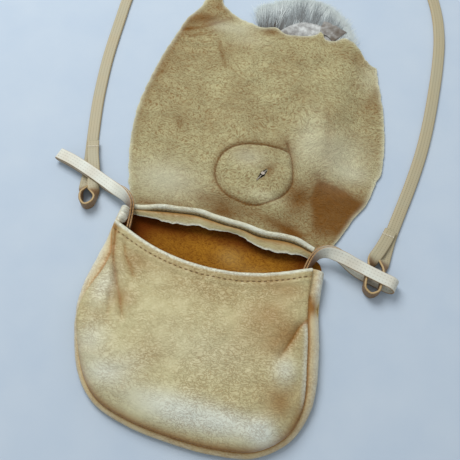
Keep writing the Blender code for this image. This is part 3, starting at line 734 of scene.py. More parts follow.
# Each fold: its line in millimetres, depth and half width. Each crease is the sharp line in one.
folds = (
    (((-83, 58), (-77, 34), (-70.6, 19.6), (-63, 6), (-55, -10)), 3.0, 3.0),
    (((-74, 50), (-69.6, 39), (-58, 24)), 1.5, 3.0), (((-58, 24), (-61, 5)), 0.5, 3.5),
    (((-72, 22), (-66, 0), (-64, -16)), 1.2, 2.5), (((-90, 29), (-80, 23)), 0.45, 1.6),
    (((-93, 20), (-81, 15)), 0.5, 1.7), (((-95, 10), (-83, 7)), 0.4, 1.6), (((-96, 0), (-81, -3)), 0.5, 2.0),
    (((-96, -19), (-79, -22)), 0.5, 2.2), (((-90, -30), (-76, -36)), 0.4, 1.8),
    (((77, 22), (72.5, 17.6), (70, 6.5), (65, -8)), 3.2, 3.2), (((64, 8), (58, -2)), 0.5, 5.0),
    (((78, -30), (70, -42), (60, -52)), 1.3, 6.0), (((-88, -26), (-72, -36), (-58, -38)), 0.8, 3.5),
    (((-84, -8), (-70, -14)), 0.6, 3.0), (((-40, -46), (-62, -56)), 0.5, 3.0),
    (((22, -54), (46, -60)), 0.5, 4.0), (((62, 44), (50, 20)), 0.8, 8.0), (((-84, 12), (-76, 2)), 0.6, 3.0),
)
creases = (
    ((-84, 60), (-77, 34), (-70.6, 19.6), (-63, 6), (-56, -8)), ((-72, 46), (-69.6, 39), (-58, 24)),
    ((76, 22), (73, 17), (70, 6.5), (66, -4)), ((-72, 12), (-66, -10)),
)
creased = sum(valley(flat, line, 1.0, 1.1, 0.4) for line in creases)
drop = sum(valley(flat, line, depth, width) for line, depth, width in folds)
height -= (drop + 0.9 * creased) * inside
swollen = [(0, -57, 40, 13, 1.5), (-66, -42, 16, 18, 1.2), (70, -18, 9, 10, 1.2), (40, -58, 24, 10, 0.8)]
height += spots_of(flat, swollen) * inside * MM
height += waver(flat, 26 * MM, 0.9 * MM, 2.3) * inside + waver(flat, 7 * MM, 0.25 * MM, 5.1) * inside
height += waver(flat, 3 * MM, 0.08 * MM, 9.4)
# The leather swells out past its seam, most of all on the left
outward = nearest - flat
outward /= np.maximum(np.linalg.norm(outward, axis=2), 0.1 * MM)[..., None]
belly = near(nearest[..., 1] + 22 * MM, 36)
belly = belly * (nearest[..., 0] < 0) * side_share(nearest[..., 1])
scale = (2.5 + 2.5 * belly) * MM
swell = (1.4 + 5.2 * belly) * MM * (away / scale) * np.exp(1 - away / scale)
flat = flat + outward * (swell * (1 - 0.6 * side_share(flat[..., 1]) * (1 - belly)))[..., None]
# The stitches draw the hem in along their line, at their own pitch
stitch_drop, stitch_pitch = 5.6 * MM, 4.4 * MM
pinch = 0.5 - 0.5 * np.cos(2 * math.pi * run_along(flat[:, -1]) / stitch_pitch)
height -= (0.32 + 0.14 * pinch)[:, None] * MM * near(below_hem - stitch_drop, 1.0)
height -= 0.1 * pinch[:, None] * MM * near(below_hem - stitch_drop, 3)
hem_step = 0.8 * MM * (1 - fade((below_hem - 0.8 * hem_fold) / (0.4 * hem_fold)))
face = np.dstack([flat, height + hem_step])
# The hem turns over a tight fold and runs back under the face
fold_radius = 0.85 * MM
turned = []
for turn in np.radians(np.linspace(15, 180, 10)):
    row = face[:, -1].copy()
    row[:, 1] += fold_radius * math.sin(turn)
    row[:, 2] += fold_radius * (math.cos(turn) - 1)
    turned.append(row[:, None])
for step in range(1, 9):
    row = face[:, -1 - step].copy()
    row[:, 2] -= 2 * fold_radius
    turned.append(row[:, None])
points = np.concatenate([face] + turned, axis=1)
low_seam_shade = (1 - fade((away - 0.5 * MM) / (6.5 * MM))) * (1 - side_share(nearest[..., 1]))
# Painted shade along the low seam, where the rounded edge turns from the light, in the folds and
# creases and in soft patches
shade = 0.9 * low_seam_shade + 0.26 * drop / (1.5 * MM) + 0.5 * near(away, 1.6)
shade += 0.4 * creased / MM
shade += spots_of(flat, [
    (69, -38, 11, 9, 0.45), (75, -47, 8, 8, 0.3), (-58, 4, 9, 9, 0.4), (-10, 26, 40, 14, 0.16),
    (54, 44, 16, 8, 0.4), (53, 21, 16, 14, 0.3), (66, 8, 8, 10, 0.35), (-60, 36, 12, 10, 0.4),
    (-27, -30, 20, 14, 0.12), (30, 45, 16, 7, 0.2), (57, -3, 9, 9, 0.3), (-74, -14, 10, 8, 0.15),
    (-36, 38, 20, 8, 0.15), (42, 8, 22, 24, 0.32), (-20, 0, 30, 30, 0.08),
])
# Darker along the stitch line, for its holes and painted shade in the puckers, and darker in a thin line 2.6
# mm below the fold
shade += (0.4 + 0.25 * pinch)[:, None] * near(below_hem - stitch_drop, 0.7)
shade += 0.25 * near(below_hem - 2.6 * MM, 1.4)
# Painted highlights along the hem's fold and as sheen on the puffed lower front and in lit spots
glow = 0.9 * near(below_hem, 1.1) + spots_of(flat, [
    (2, -62, 36, 9, 0.75), (44, -63, 22, 8, 0.6), (64, -62, 10, 9, 0.45), (-72, -32, 13, 12, 0.45),
    (-55, -52, 16, 9, 0.6), (70, -18, 8, 9, 0.55), (-77, 10, 8, 16, 0.45), (-40, -42, 14, 10, 0.2),
    (10, -20, 40, 20, 0.12), (14, -70, 34, 6, 0.4), (66, -66, 10, 8, 0.4),
])
# The rolled edge at the right catches the light
at_right = (nearest[..., 0] > 0) * fade((24 * MM - flat[..., 1]) / (8 * MM))
at_right = at_right * fade((flat[..., 1] + 46 * MM) / (20 * MM))
glow += 0.55 * at_right * near(away - 1.8 * MM, 1.8)
# The rows turned under the hem take a painted highlight for the fold's lit edge
tail = np.zeros((len(points), points.shape[1] - face.shape[1]))
front = leather_sheet("front_leather", points, leather, tan_grain, inner_suede, cream_edge, {
    "shade": np.hstack([shade, tail]), "glow": np.hstack([glow, tail + 0.6]),
})
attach(front, "pouch_body")
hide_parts("front_panel")


def surface_tree(piece):
    """A search tree over a finished piece, to lay stitches on it."""
    shape = bmesh.new()
    shape.from_mesh(piece.data)
    tree = BVHTree.FromBMesh(shape)
    shape.free()
    return tree


def stitches_on(tree, line, pitch, share, lift):
    """Pairs of ends for stitches of even pitch along a flat line, laid on the surface below."""
    run = run_along(line)
    ends = []
    for index in range(int(run[-1] / pitch)):
        pair = []
        for at in ((index + 0.5 - share / 2) * pitch, (index + 0.5 + share / 2) * pitch):
            x, y = (np.interp(at, run, line[:, axis]) for axis in (0, 1))
            hit = tree.ray_cast(Vector((x, y, 0.05)), Vector((0, 0, -1)))[0]
            if hit is None:
                break
            pair.append((x, y, hit.z + lift))
        if len(pair) == 2:
            ends.append(pair)
    return ends


brown_thread = finish("brown_thread", 0.8)
strands = speckle(brown_thread, 2600.0, 2.0)
drive(brown_thread, "Base Color", blend_colours(brown_thread, strands, tone(84, 66, 40), tone(140, 116, 74)))
stitch_line = np.column_stack([face[2:-2, -1, 0], face[2:-2, -1, 1] - stitch_drop])
hem_ends = stitches_on(surface_tree(front), stitch_line, stitch_pitch, 0.62, 0.05 * MM)
hem_stitches = thread_bars("hem_stitches", hem_ends, 0.36 * MM, brown_thread, "pouch_body")

# Tabs
# Each is a strip of cream leather folded in two round the strap's loop, pricked with small holes.
# Its ends go down inside the mouth's corner and are sewn to the side seam.
tab_width, tab_leather = 10 * MM, 1.4 * MM
left_tab = [
    (-76, 62, 7.4, 8, 0.95), (-77, 70, 7.6, 10, 0.95), (-78.2, 77, 9.4, 14, 0.95),
    (-80.5, 83, 11.6, 24, 0.95), (-85.5, 88, 11.8, 38, 1.1), (-91, 91.2, 10.2, 56, 1.4),
    (-97.5, 94, 7.6, 76, 1.9), (-104, 96.7, 5.8, 88, 2.15), (-109, 98.7, 5.6, 90, 2.15),
    (-118, 102.5, 5.6, 90, 2.15), (-130, 107, 5.6, 90, 2.15), (-142, 111, 5.6, 90, 2.15),
    (-153, 114, 5.0, 90, 1.8),
]
right_tab = [
    (67.5, 60, 7.4, -8, 0.95), (68.6, 67, 7.5, -10, 0.95), (70.6, 73.5, 8.6, -14, 0.95),
    (74.6, 79.5, 11.0, -24, 1.0), (80.5, 82.6, 12.2, -40, 1.4), (87.5, 82.4, 12.2, -58, 2.3),
    (95, 80.6, 10.6, -76, 3.7), (102, 78.3, 8.5, -86, 5.0), (108, 76.4, 7.2, -90, 5.8),
    (116, 74.2, 6.9, -90, 6.0), (124, 72.2, 6.9, -90, 6.0), (132, 70.4, 6.9, -90, 5.9),
]
tab_skin = strip_leather(
    "tab_skin", tone(218, 222, 210), tone(168, 128, 76), tone(96, 78, 50), 2.5 * MM, 2.6 * MM, tab_width, 0.4,
)
for node_name, route in (("left_tab", left_tab), ("right_tab", right_tab)):
    middle = smooth_path(route, 90)
    spots, across, normal = lay_directions(middle[:, :4])
    flat_along = headings(spots * [1, 1, 0])
    spread = middle[:, 4:5] * MM
    turn = np.radians(np.linspace(8, 172, 22))[:, None]
    bend = spots[-1] - normal[-1] * spread[-1] * np.cos(turn) + flat_along[-1] * spread[-1] * np.sin(turn)
    bend_normal = normal[-1] * np.cos(turn) - flat_along[-1] * np.sin(turn)
    line = np.vstack([spots - normal * spread, bend, (spots + normal * spread)[::-1]])
    wide = np.vstack([across, np.repeat(across[-1:], len(turn), axis=0), across[::-1]])
    facing = np.vstack([normal, bend_normal, -normal[::-1]])
    tab = band(node_name + "_strip", line, wide, facing, tab_width, tab_leather, tab_skin)
    steps = np.arange(len(line))
    # Painted shade on each end where it goes down into the mouth's corner
    tucked_shade = 0.9 * (1 - fade((np.minimum(steps, steps[::-1]) - 14) / 16))
    add_values(tab, "shade", np.repeat(tucked_shade, len(tab.data.vertices) // len(line)))
    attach(tab, "pouch_body")
    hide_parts(node_name)

# Flap
# One piece of suede with the hide's own ragged edge, thrown open with its suede side up. Its root is
# turned up along the mouth as the upper lip, grain side towards the pouch.
flap_width, flap_length, root_flat = 217 * MM, 207 * MM, 9 * MM
pile, hide_clearance = 6.5 * MM, 0.2 * MM
pelt_centre, pelt_half_width, pelt_half_length = (18 * MM, 135 * MM), 54 * MM, 112 * MM
flap_left = [
    (-0.71, 0.0), (-0.745, 0.03), (-0.825, 0.10), (-0.917, 0.23), (-0.972, 0.377), (-0.982, 0.507),
    (-0.963, 0.63), (-0.935, 0.75), (-0.89, 0.85), (-0.853, 0.947), (-0.77, 1.034),
    (-0.745, 1.12), (-0.72, 1.20),
]
flap_far = [
    (-0.72, 1.20), (-0.63, 1.17), (-0.605, 1.085), (-0.53, 1.046), (-0.417, 1.012), (-0.31, 0.988),
    (-0.20, 0.966), (-0.085, 0.975), (0.01, 0.952), (0.16, 0.962), (0.25, 0.985), (0.295, 1.012),
    (0.345, 0.972), (0.42, 0.972), (0.484, 1.00), (0.55, 0.995), (0.622, 0.971), (0.72, 0.918),
    (0.806, 0.899),
]
flap_right = [
    (0.72, 0.0), (0.765, 0.04), (0.825, 0.106), (0.88, 0.17), (0.954, 0.242), (0.99, 0.343),
    (1.018, 0.41), (0.985, 0.56), (0.93, 0.69), (0.862, 0.80), (0.806, 0.899),
]
flap_lip = [
    (4.5, 6.0), (4.6, 9.2), (3.4, 11.3), (1.7, 10.8), (1.15, 8.2), (1.15, 4.6), (2.0, 2.2), (5.0, 1.1),
]
slit_spot, slit_angle = np.array([15.5, 138]) * MM, math.radians(62)
oval_knots = [
    (28, 172), (31.5, 166), (36.7, 154.2), (39.6, 143.2), (40.3, 135.1), (37.2, 126.9), (30.3, 119.4),
    (21.7, 113.6), (12.3, 111), (2, 111.8), (-8.9, 114.6), (-18, 121.2), (-23, 129.6), (-24.3, 138.7),
    (-22, 149.5), (-15.8, 156.9), (-6.7, 161.9), (4.5, 164.6), (16.1, 165.6), (26, 165.5), (33, 163.5),
]


def pelt_share(points):
    """0 at the pelt's middle, 1 on its outline."""
    across = (points[..., 0] - pelt_centre[0]) / pelt_half_width
    along = (points[..., 1] - mouth_y - pelt_centre[1]) / pelt_half_length
    return (np.abs(across) ** 3 + np.abs(along) ** 3) ** (1 / 3)


def pile_height(points):
    """How high the fur lifts the flap off the surface below."""
    start = fade((points[..., 1] - mouth_y - root_flat) / (22 * MM))
    return pile * start * (1 - fade((pelt_share(points) - 0.66) / 0.62))


def scaled(outline):
    """A smooth line through knots that are shares of the flap's half width and its length."""
    return smooth_path([(u * flap_width / 2, v * flap_length) for u, v in outline], 361)


west, far, east = scaled(flap_left), scaled(flap_far), scaled(flap_right)
west, east = west[west[:, 1] >= root_flat], east[east[:, 1] >= root_flat]
across_share, up_share = np.linspace(0, 1, 156), np.linspace(0, 1, 160)
x = west[0, 0] + (east[0, 0] - west[0, 0]) * across_share
south = np.column_stack([x, np.full(len(x), root_flat)])
hide = patch(south, far, west, east, across_share, up_share)
wave = (seam_y(x) - mouth_y)[:, None] * (1 - fade((hide[..., 1] - root_flat) / (40 * MM)))
hide[..., 1] += mouth_y + wave
near_side = np.minimum(across_share, 1 - across_share)[:, None] / 0.03
near_far = (1 - up_share)[None, :] / 0.03
at_edge = np.clip(1 - np.minimum(near_side, near_far), 0, 1)
hide += (waver(hide, 5 * MM, 0.6 * MM, 8.4) * at_edge)[..., None]
height = pile_height(hide) + leather / 2 + hide_clearance
lifted = fade((height - leather / 2 - hide_clearance) / (3 * MM))
# A fold with a depth below 0 is a ridge
flap_folds = (
    (((109, 117), (84, 134), (57, 150)), 2.0, 5.0), (((57, 94), (24, 104), (-9, 108)), 1.6, 5.0),
    (((-98, 262), (-80, 258), (-62, 262)), -2.2, 3.5), (((-88, 282), (-70, 292), (-58, 302)), -1.6, 2.8),
    (((-94, 269), (-77, 276), (-62, 286), (-51, 295)), 1.5, 1.8),
    (((-84, 264), (-72, 270), (-63, 276)), 1.3, 1.8), (((-80, 284), (-68, 296)), 0.9, 1.5),
    (((-57, 265), (-53, 256), (-48, 248), (-43, 238)), 1.6, 1.9), (((54, 218), (64, 172)), 0.7, 3.0),
    (((86, 230), (92, 250), (90, 272)), 1.0, 3.5), (((-104, 212), (-94, 222)), 1.0, 2.5),
    (((-72, 178), (-65, 168)), 0.7, 2.0), (((92, 150), (60, 128)), 1.0, 8.0),
    (((76, 282), (84, 256)), -0.9, 3.0),
)
drop = sum(valley(hide, line, depth, width, 0.3) for line, depth, width in flap_folds)
height -= np.where(drop > 0, drop * lifted, drop * 0.6)
# The sewn oval: a groove along its line, and the leather inside it lifted. Its line starts with a
# tail, which the closed ring leaves out.
oval_line = smooth_path(oval_knots, 300) * MM
oval_ring = oval_line[30:]
oval_away = np.min(np.stack([np.linalg.norm(hide - spot, axis=-1) for spot in oval_line]), axis=0)
oval_middle = oval_ring.mean(axis=0)
bearing = np.arctan2(oval_ring[:, 1] - oval_middle[1], oval_ring[:, 0] - oval_middle[0])
order = np.argsort(bearing)
reach = np.linalg.norm(oval_ring - oval_middle, axis=1)[order]
turned_to = np.arctan2(hide[..., 1] - oval_middle[1], hide[..., 0] - oval_middle[0])
ring_reach = np.interp(turned_to, bearing[order], reach, period=2 * math.pi)
inside = np.linalg.norm(hide - oval_middle, axis=-1) < ring_reach
groove = 0.5 + 1.0 * fade((pile_height(hide) - 2.5 * MM) / (2.5 * MM))
height -= groove * MM * near(oval_away, 1.3)
height += 1.4 * MM * inside * (1 - near(oval_away, 5))
# A dimple round the slit
slit_off = hide - slit_spot
along_slit = slit_off @ np.array([math.cos(slit_angle), math.sin(slit_angle)])
beside_slit = slit_off @ np.array([-math.sin(slit_angle), math.cos(slit_angle)])
dimple = near(along_slit, 7) * near(beside_slit, 4.5)
height -= 1.0 * MM * dimple
height += waver(hide, 9 * MM, 0.3 * MM, 1.2) * (0.3 + 0.7 * lifted) + 0.15 * MM
height += waver(hide, 34 * MM, 1.8 * MM, 3.3) * lifted
height = np.maximum(height, leather / 2 + 0.1 * MM)
# The upper lip, from its free edge over its fold and down to the flap's root
rows = []
lip_x = lip_ends[0] + (lip_ends[1] - lip_ends[0]) * across_share
lip_end = fade((lip_x - lip_ends[0]) / (18 * MM)) * fade((lip_ends[1] - lip_x) / (18 * MM))
lip_section = smooth_path([(reach, level, index) for index, (reach, level) in enumerate(flap_lip)], lip_rows)
sway = rumple(((value / (20 * MM), 7.7, 0.9) for value in lip_x), 2)
for reach, level, index in lip_section:
    share = fade((reach - 2) / 5) if index > 5 else 0
    row_x = lip_x + (x - lip_x) * share
    upper = fade((level - 4) / 6)
    row_y = seam_y(row_x) + (reach + (0.9 * sway - 1.2 * (1 - lip_end)) * upper) * MM
    row_z = (level - upper * (2.6 * (1 - lip_end) - 0.5 * sway)) * MM
    rows.append(np.column_stack([row_x, row_y, row_z])[:, None])
rows.append(np.dstack([hide, height]))
points = np.concatenate(rows, axis=1)
root_rows = points.shape[1] - hide.shape[1]
# Painted shade in the folds, in the oval's groove and beside it on the side away from the light, and
# in the slit's dimple. In the patch right of the oval the nap lies differently and painted shade
# deepens it; browner too in soft spots, with painted shade along the root below the lip
shade = np.zeros(points.shape[:2])
glow = np.zeros(points.shape[:2])
above = 0.5 + 0.5 * np.sin(turned_to - 0.2)
beside_fold = hide[..., 0] - 53 * MM - 0.15 * np.clip(139 * MM - hide[..., 1], 0, 60 * MM)
shade[:, root_rows:] = (
    np.clip(0.3 * drop / MM, 0, 0.5) + 0.8 * near(oval_away, 0.9)
    + 0.55 * near(oval_away, 4.2) * ~inside * (0.25 + 0.75 * above)
    + 0.4 * near(oval_away, 3) * inside * (1 - above)
    + 0.7 * near(along_slit - 5 * MM, 7.5) * near(beside_slit + 1 * MM, 4.5)
    + (0.3 * fade((beside_fold + 14 * MM) / (24 * MM)) + 0.6 * fade(beside_fold / (11 * MM)))
    * (1 - fade((hide[..., 1] - 137 * MM - 3 * MM * np.sin(hide[..., 0] / (9 * MM))) / (12 * MM)))
    * (0.4 + 0.6 * fade((hide[..., 1] - 88 * MM) / (22 * MM)))
    + spots_of(hide, [
        (-96, 278, 14, 18, 0.65), (-100, 240, 10, 36, 0.3), (-104, 196, 8, 50, 0.3), (-74, 287, 18, 8, 0.7),
        (-66, 306, 12, 12, 0.5), (-14, 283, 7, 5, 0.5), (-70, 91, 14, 5, 0.6), (-40, 94, 20, 5, 0.55),
        (-24, 108, 14, 7, 0.6), (-8, 99, 12, 6, 0.7), (47, 126, 9, 12, 0.5), (24, 98, 30, 7, 0.3),
        (95, 235, 8, 22, 0.35), (74, 276, 16, 8, 0.35), (4, 284, 30, 5, 0.35), (-66, 172, 5, 7, 0.3),
        (-60, 176, 40, 30, 0.12), (-78, 246, 30, 26, 0.22), (-20, 262, 40, 14, 0.12), (62, 180, 6, 40, 0.15),
        (98, 180, 9, 20, 0.25), (50, 92, 12, 6, 0.4), (48, 118, 10, 24, 0.3),
    ])
)
# Painted highlights on lit rises and along the hide's ragged edge
glow[:, root_rows:] = spots_of(hide, [
    (-62, 116, 28, 17, 0.6), (-42, 284, 16, 9, 0.45), (72, 174, 26, 22, 0.45), (44, 182, 12, 26, 0.3),
    (0, 150, 14, 9, 0.4), (86, 262, 12, 18, 0.3), (-60, 282, 10, 6, 0.3), (20, 120, 14, 5, 0.25),
    (-30, 270, 20, 8, 0.2), (88, 160, 16, 9, 0.35),
]) + 0.8 * at_edge**3
# The upper lip: a painted highlight along its top fold and painted shade down its face into the groove
lip_level = lip_section[:, 1]
glow[:, :root_rows] = 0.12 + (0.5 + 0.35 * sway[:, None]) * fade((lip_level - 9.8) / 1.0)
shade[:, :root_rows] = 0.7 * (1 - fade((lip_level - 5.5) / 3))
flap_suede = napped_suede(
    "flap_suede", tone(192, 186, 142), tone(116, 70, 6), tone(216, 216, 188), 0.85, 0.03,
)
flap_grain = grain_leather("flap_grain", *grain_tones, 0.5, side="outer_")
# The grain side keeps the lip's painted shade and highlight, and elsewhere only a weaker share
root = (np.arange(points.shape[1]) < root_rows)[None, :]
flap = leather_sheet("flap_hide", points, leather, flap_suede, flap_grain, cream_edge, {
    "shade": shade, "glow": glow, "outer_shade": np.where(root, shade, 0.3 * shade),
    "outer_glow": np.where(root, glow, 0.35 * glow),
})
# The slit that the button's shank comes up through, 10.8 by 3.5 mm
bpy.ops.mesh.primitive_cylinder_add(vertices=28, radius=1, depth=0.05, location=(*slit_spot, 0.01))
cutter = bpy.context.object
cutter.scale = (5.4 * MM, 1.75 * MM, 1)
cutter.rotation_euler.z = slit_angle
cut = flap.modifiers.new("slit", "BOOLEAN")
cut.object = cutter
cut.solver = "EXACT"
bpy.context.view_layer.objects.active = flap
bpy.ops.object.modifier_apply(modifier="slit")
bpy.data.objects.remove(cutter)
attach(flap, "flap_body")
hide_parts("flap")
flap_tree = surface_tree(flap)
oval_ends = stitches_on(flap_tree, oval_line, 2.7 * MM, 0.6, 0)
oval_stitches = thread_bars("oval_stitches", oval_ends, 0.28 * MM, brown_thread, "flap_body")
marks = []
for start in np.arange(-66, 64, 3.4) * MM:
    marks.append([(end, seam_y(end) + 0.45 * MM, 9.4 * MM) for end in (start, start + 1.7 * MM)])
lip_stitches = thread_bars("lip_stitches", marks, 0.28 * MM, brown_thread, "flap_body")

# Button and its wire pin
# A domed metal button sits on the flap's outer side. Its shank comes up through the slit, and a wire
# pin through the shank holds it.
dull_metal = finish("dull_metal", 0.38)
dull_metal.node_tree.nodes["Principled BSDF"].inputs["Metallic"].default_value = 1.0
tarnish = speckle(dull_metal, 380.0, 6.0)
drive(dull_metal, "Base Color", blend_colours(dull_metal, tarnish, tone(92, 84, 76), tone(168, 162, 152)))
drive(dull_metal, "Roughness", (node(dull_metal, "ShaderNodeMapRange", {
    "Value": tarnish, 1: 0.3, 2: 0.7, 3: 0.25, 4: 0.55,
}), 0))
for name in ("button", "button_pin"):
    metal_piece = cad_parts[name]
    for slot in metal_piece.material_slots:
        slot.material = dull_metal

# Fur pelt
# A strip of soft fur on the flap's outer side, so under it while it lies open: a thin hide with
# white-tipped hair, brown at its roots. Its far corner is turned over on itself.
random = np.random.default_rng(7)
hair_skin = finish("fur_hide", 0.9)
patchy = speckle(hair_skin, 260.0, 5.0)
shade = node(hair_skin, "ShaderNodeAttribute", {}, attribute_name="shade")
colour = blend_colours(
    hair_skin, stretch(hair_skin, patchy, 0.35, 0.65), tone(150, 150, 148), tone(206, 210, 208),
)
drive(hair_skin, "Base Color", blend_colours(hair_skin, (shade, "Fac"), colour, tone(96, 84, 70)))
drive(hair_skin, "Normal", relief(hair_skin, patchy, 0.6, 0.8 * MM))


def drawn_in(points):
    """The hide narrows and stops short of the hair at the far end, and slopes away to the left."""
    points = points.copy()
    points[..., 0] -= 0.24 * fade((points[..., 1] - 215 * MM) / (75 * MM)) * (points[..., 0] - pelt_centre[0])
    beyond = np.clip(points[..., 1] - 240 * MM, 0, None)
    less = 0.62 - 0.24 * fade((points[..., 0] + 18 * MM) / (36 * MM))
    points[..., 1] -= less * beyond**2 / (beyond + 26 * MM)
    return points


def rounded(angle, grow):
    """Points on the pelt's rounded outline, or inside it where grow is under 1."""
    across, along = np.cos(angle), np.sin(angle)
    size = (np.abs(across) ** 3 + np.abs(along) ** 3) ** (-1 / 3) * grow
    return np.column_stack([
        pelt_centre[0] + pelt_half_width * across * size,
        mouth_y + pelt_centre[1] + pelt_half_length * along * size,
    ])


def under_flap(points, height, clearance, least):
    """Keep heights below the flap's own underside, where the flap is over them, and no less than least."""
    found = np.array(height, float)
    for index in np.ndindex(found.shape):
        x, y = points[index][:2]
        hit = flap_tree.ray_cast(Vector((x, y, -0.05)), Vector((0, 0, 1)))[0]
        if hit is not None:
            found[index] = min(found[index], hit.z - clearance)
    return np.maximum(found, least)


quarter = np.linspace(-math.pi / 4, math.pi / 4, 121)
south, north = rounded(quarter - math.pi / 2, 0.97), rounded(quarter + math.pi / 2, 0.97)[::-1]
west, east = rounded(quarter + math.pi, 0.97)[::-1], rounded(quarter, 0.97)
flat = drawn_in(patch(south, north, west, east, np.linspace(0, 1, 50), np.linspace(0, 1, 100)))
level = np.maximum(pile_height(flat) - 1.5 * MM, 0.6 * MM) + waver(flat, 8 * MM, 0.3 * MM, 6.6)
level = level + 1.0 * MM * fade((flat[..., 1] - 280 * MM) / (15 * MM))
level = under_flap(flat, level, 0.7 * MM, 0.5 * MM)
pelt = leather_sheet("fur_hide", np.dstack([flat, level]), 0.8 * MM, hair_skin, hair_skin, hair_skin, {
    "shade": spots_of(flat, [(0, 285, 14, 5, 0.5), (44, 296, 14, 10, 0.4)]),
})
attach(pelt, "flap_body")
# The turned-over corner
u, v = np.meshgrid(np.linspace(0, 1, 16), np.linspace(0, 1, 16), indexing="ij")
corners = np.array([[30, 297], [31, 309], [44, 287], [54, 302]]) * MM
folded = ((1 - u) * (1 - v))[..., None] * corners[0] + ((1 - u) * v)[..., None] * corners[1]
folded = folded + (u * (1 - v))[..., None] * corners[2] + (u * v)[..., None] * corners[3]
folded += waver(folded, 6 * MM, 1.0 * MM, 2.9)[..., None]
curl = 6.6 * MM + 1.6 * MM * np.sin(math.pi * u) * (0.4 + 0.6 * v) - 1.2 * MM * v
corner = leather_sheet("fur_corner", np.dstack([folded, curl]), 0.8 * MM, hair_skin, hair_skin, hair_skin, {
    "shade": 0.55 + 0.35 * waver(folded, 4 * MM, 1.0, 7.1) + 0.2 * u,
})
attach(corner, "flap_body")

hair_finish = finish("hair", 0.65, 0.25)
tip = node(hair_finish, "ShaderNodeAttribute", {}, attribute_name="tip")
tuft = node(hair_finish, "ShaderNodeAttribute", {}, attribute_name="tuft")
warm = node(hair_finish, "ShaderNodeAttribute", {}, attribute_name="warm")
# A hair turns white from its tip down, some sooner than others and the brown ones later
along = maths(hair_finish, "MULTIPLY_ADD", (tuft, "Fac"), 0.8, -0.34)
along = maths(hair_finish, "ADD", along, (tip, "Fac"))
along = maths(hair_finish, "SUBTRACT", along, maths(hair_finish, "MULTIPLY", (warm, "Fac"), 0.26))
colour = blend_colours(hair_finish, (warm, "Fac"), tone(122, 126, 126), tone(58, 42, 22))
colour = blend_colours(hair_finish, stretch(hair_finish, along, 0.18, 0.55), colour, tone(158, 168, 170))
drive(hair_finish, "Base Color", blend_colours(
    hair_finish, stretch(hair_finish, along, 0.5, 0.85), colour, tone(232, 240, 238),
))


def grow_hair(name, root_xy, root_z, comb, reach, lowest, arch, thin, brown, light):
    """Hairs as thin tapered ribbons that lean out from their roots along comb."""
    count = len(root_xy)
    comb = comb / np.linalg.norm(comb, axis=1)[:, None]
    sections = np.array([0, 0.25, 0.5, 0.78, 1.0])
    widths = np.array([1, 1, 0.85, 0.6, 0.1]) * thin
    fall = np.array([0, 0.2, 0.5, 0.85, 1.0])
    aside = np.stack([-comb[:, 1], comb[:, 0]], axis=1)
    steps = sections[None, :, None]
    line = root_xy[:, None] + comb[:, None] * steps * reach[:, None, None]
    line = line + aside[:, None] * (random.normal(0, 0.10, count) * reach)[:, None, None] * steps**2
    height = root_z[:, None] + (np.minimum(lowest, root_z) - root_z)[:, None] * fall[None]
    height = height + arch[:, None] * np.sin(math.pi * sections)[None, :]
    hair_points = np.concatenate([
        np.dstack([line - aside[:, None] * widths[None, :, None], height])[:, :, None],
        np.dstack([line + aside[:, None] * widths[None, :, None], height + 0.08 * MM])[:, :, None],
    ], axis=2).reshape(-1, 3)
    per_hair = 2 * len(sections)
    step = np.arange(len(sections) - 1)[None, :] * 2 + np.arange(count)[:, None] * per_hair
    hair_faces = np.stack([step, step + 1, step + 3, step + 2], axis=2).reshape(-1, 4)
    mesh = bpy.data.meshes.new(name)
    mesh.from_pydata(hair_points.tolist(), [], hair_faces.tolist())
    fur = add_piece(name, mesh, hair_finish)
    add_values(fur, "tip", np.tile(np.repeat(sections, 2), count))
    add_values(fur, "tuft", np.repeat(0.5 * light + random.uniform(0, 0.5, count), per_hair))
    add_values(fur, "warm", np.repeat(brown, per_hair))
    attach(fur, "flap_body")
    return fur


roots = random.uniform(-1, 1, (26000, 2))
size = (np.abs(roots[:, 0]) ** 3 + np.abs(roots[:, 1]) ** 3) ** (1 / 3)
roots = roots[(size < 0.975) & ((size > 0.8) | (random.uniform(0, 1, len(roots)) < 0.72))]
root_xy = drawn_in(np.column_stack([
    pelt_centre[0] + roots[:, 0] * pelt_half_width, mouth_y + pelt_centre[1] + roots[:, 1] * pelt_half_length,
]))
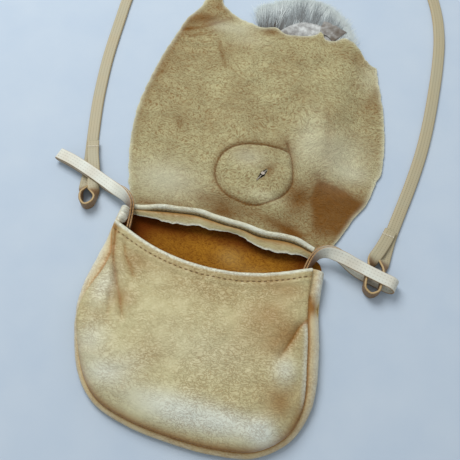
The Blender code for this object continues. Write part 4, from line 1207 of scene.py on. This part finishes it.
# The hair is parted round the button
before = np.clip(slit_spot[1] - root_xy[:, 1], 0, 11 * MM)
from_button = root_xy + np.column_stack([np.zeros(len(before)), before]) - slit_spot
clear = np.linalg.norm(from_button, axis=1) > 8.6 * MM
roots, root_xy = roots[clear], root_xy[clear]
far_end = fade((root_xy[:, 1] - 236 * MM) / (44 * MM))
spread_out = roots * np.array([1.0, 0.9]) * np.linalg.norm(roots, axis=1)[:, None] ** 2
comb = np.array([0.05, 0.55]) + 0.9 * spread_out * (1 - 0.7 * far_end)[:, None]
comb = comb + random.normal(0, 0.17, (len(roots), 2))
root_z = under_flap(root_xy, pile_height(root_xy) - 1.9 * MM, 1.0 * MM, 0.4 * MM)
reach = random.uniform(0.7, 1.1, len(roots)) * MM * (14 + 4 * far_end)
lowest = random.uniform(0.15, 0.9, len(roots)) * MM
fur = grow_hair(
    "fur_hair", root_xy, root_z, comb, reach, lowest, 0 * far_end, 0.25 * MM,
    0.2 * np.ones(len(roots)), random.uniform(0, 1, len(roots)),
)
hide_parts("fur_pelt")
# The long soft tuft past the far end of the hide
count = 24000
far_line = drawn_in(north)
root_x = pelt_centre[0] + 37.5 * MM * (1 - 2 * random.beta(1.05, 1.05, count))
depth = random.uniform(0, 1, count) ** 1.3
brown = fade((6 * MM - root_x) / (20 * MM))
back = (1 + (30 - 22 * brown) * depth) * MM
root_xy = np.column_stack([root_x, np.interp(root_x, far_line[:, 0], far_line[:, 1]) - back])
clumps = rumple((x / (5 * MM), y / (20 * MM), 0.3) for x, y in root_xy)
locks = np.array([noise.noise(Vector((x / (2.2 * MM), y / (12 * MM), 4.3))) for x, y in root_xy])
fan = (root_x - 14 * MM) / (37 * MM)
comb = np.column_stack([
    0.30 * fan * np.abs(fan) + 0.10 * clumps + 0.10 * locks + random.normal(0, 0.07, count), np.ones(count),
])
tip_x = (root_x + comb[:, 0] * 26 * MM - 12 * MM) / (46 * MM)
tip_y = (334 - 30 * np.abs(tip_x) ** 2.6) * MM
reach = tip_y - root_xy[:, 1] - random.gamma(1.7, 3.2, count) * MM + (3 * clumps + 2.5 * locks + 1.5) * MM
reach = np.clip(reach, 12 * MM, 44 * MM)
rise = random.uniform(0, 1, count)
root_z = under_flap(root_xy, pile_height(root_xy) - (1.6 + 2.2 * rise) * MM, 1.0 * MM, 0.8 * MM)
lowest = (0.3 + 3.4 * (1 - rise) + 1.6 * np.abs(locks)) * MM
arch = (0.3 + 1.3 * (1 - depth) * (1 - rise)) * MM
tuft_hair = grow_hair(
    "fur_tuft", root_xy, root_z, comb, reach, lowest, arch, 0.17 * MM,
    np.clip(0.05 + 0.95 * brown + 0.25 * clumps, 0, 1), np.clip(0.5 + 0.9 * locks, 0, 1),
)
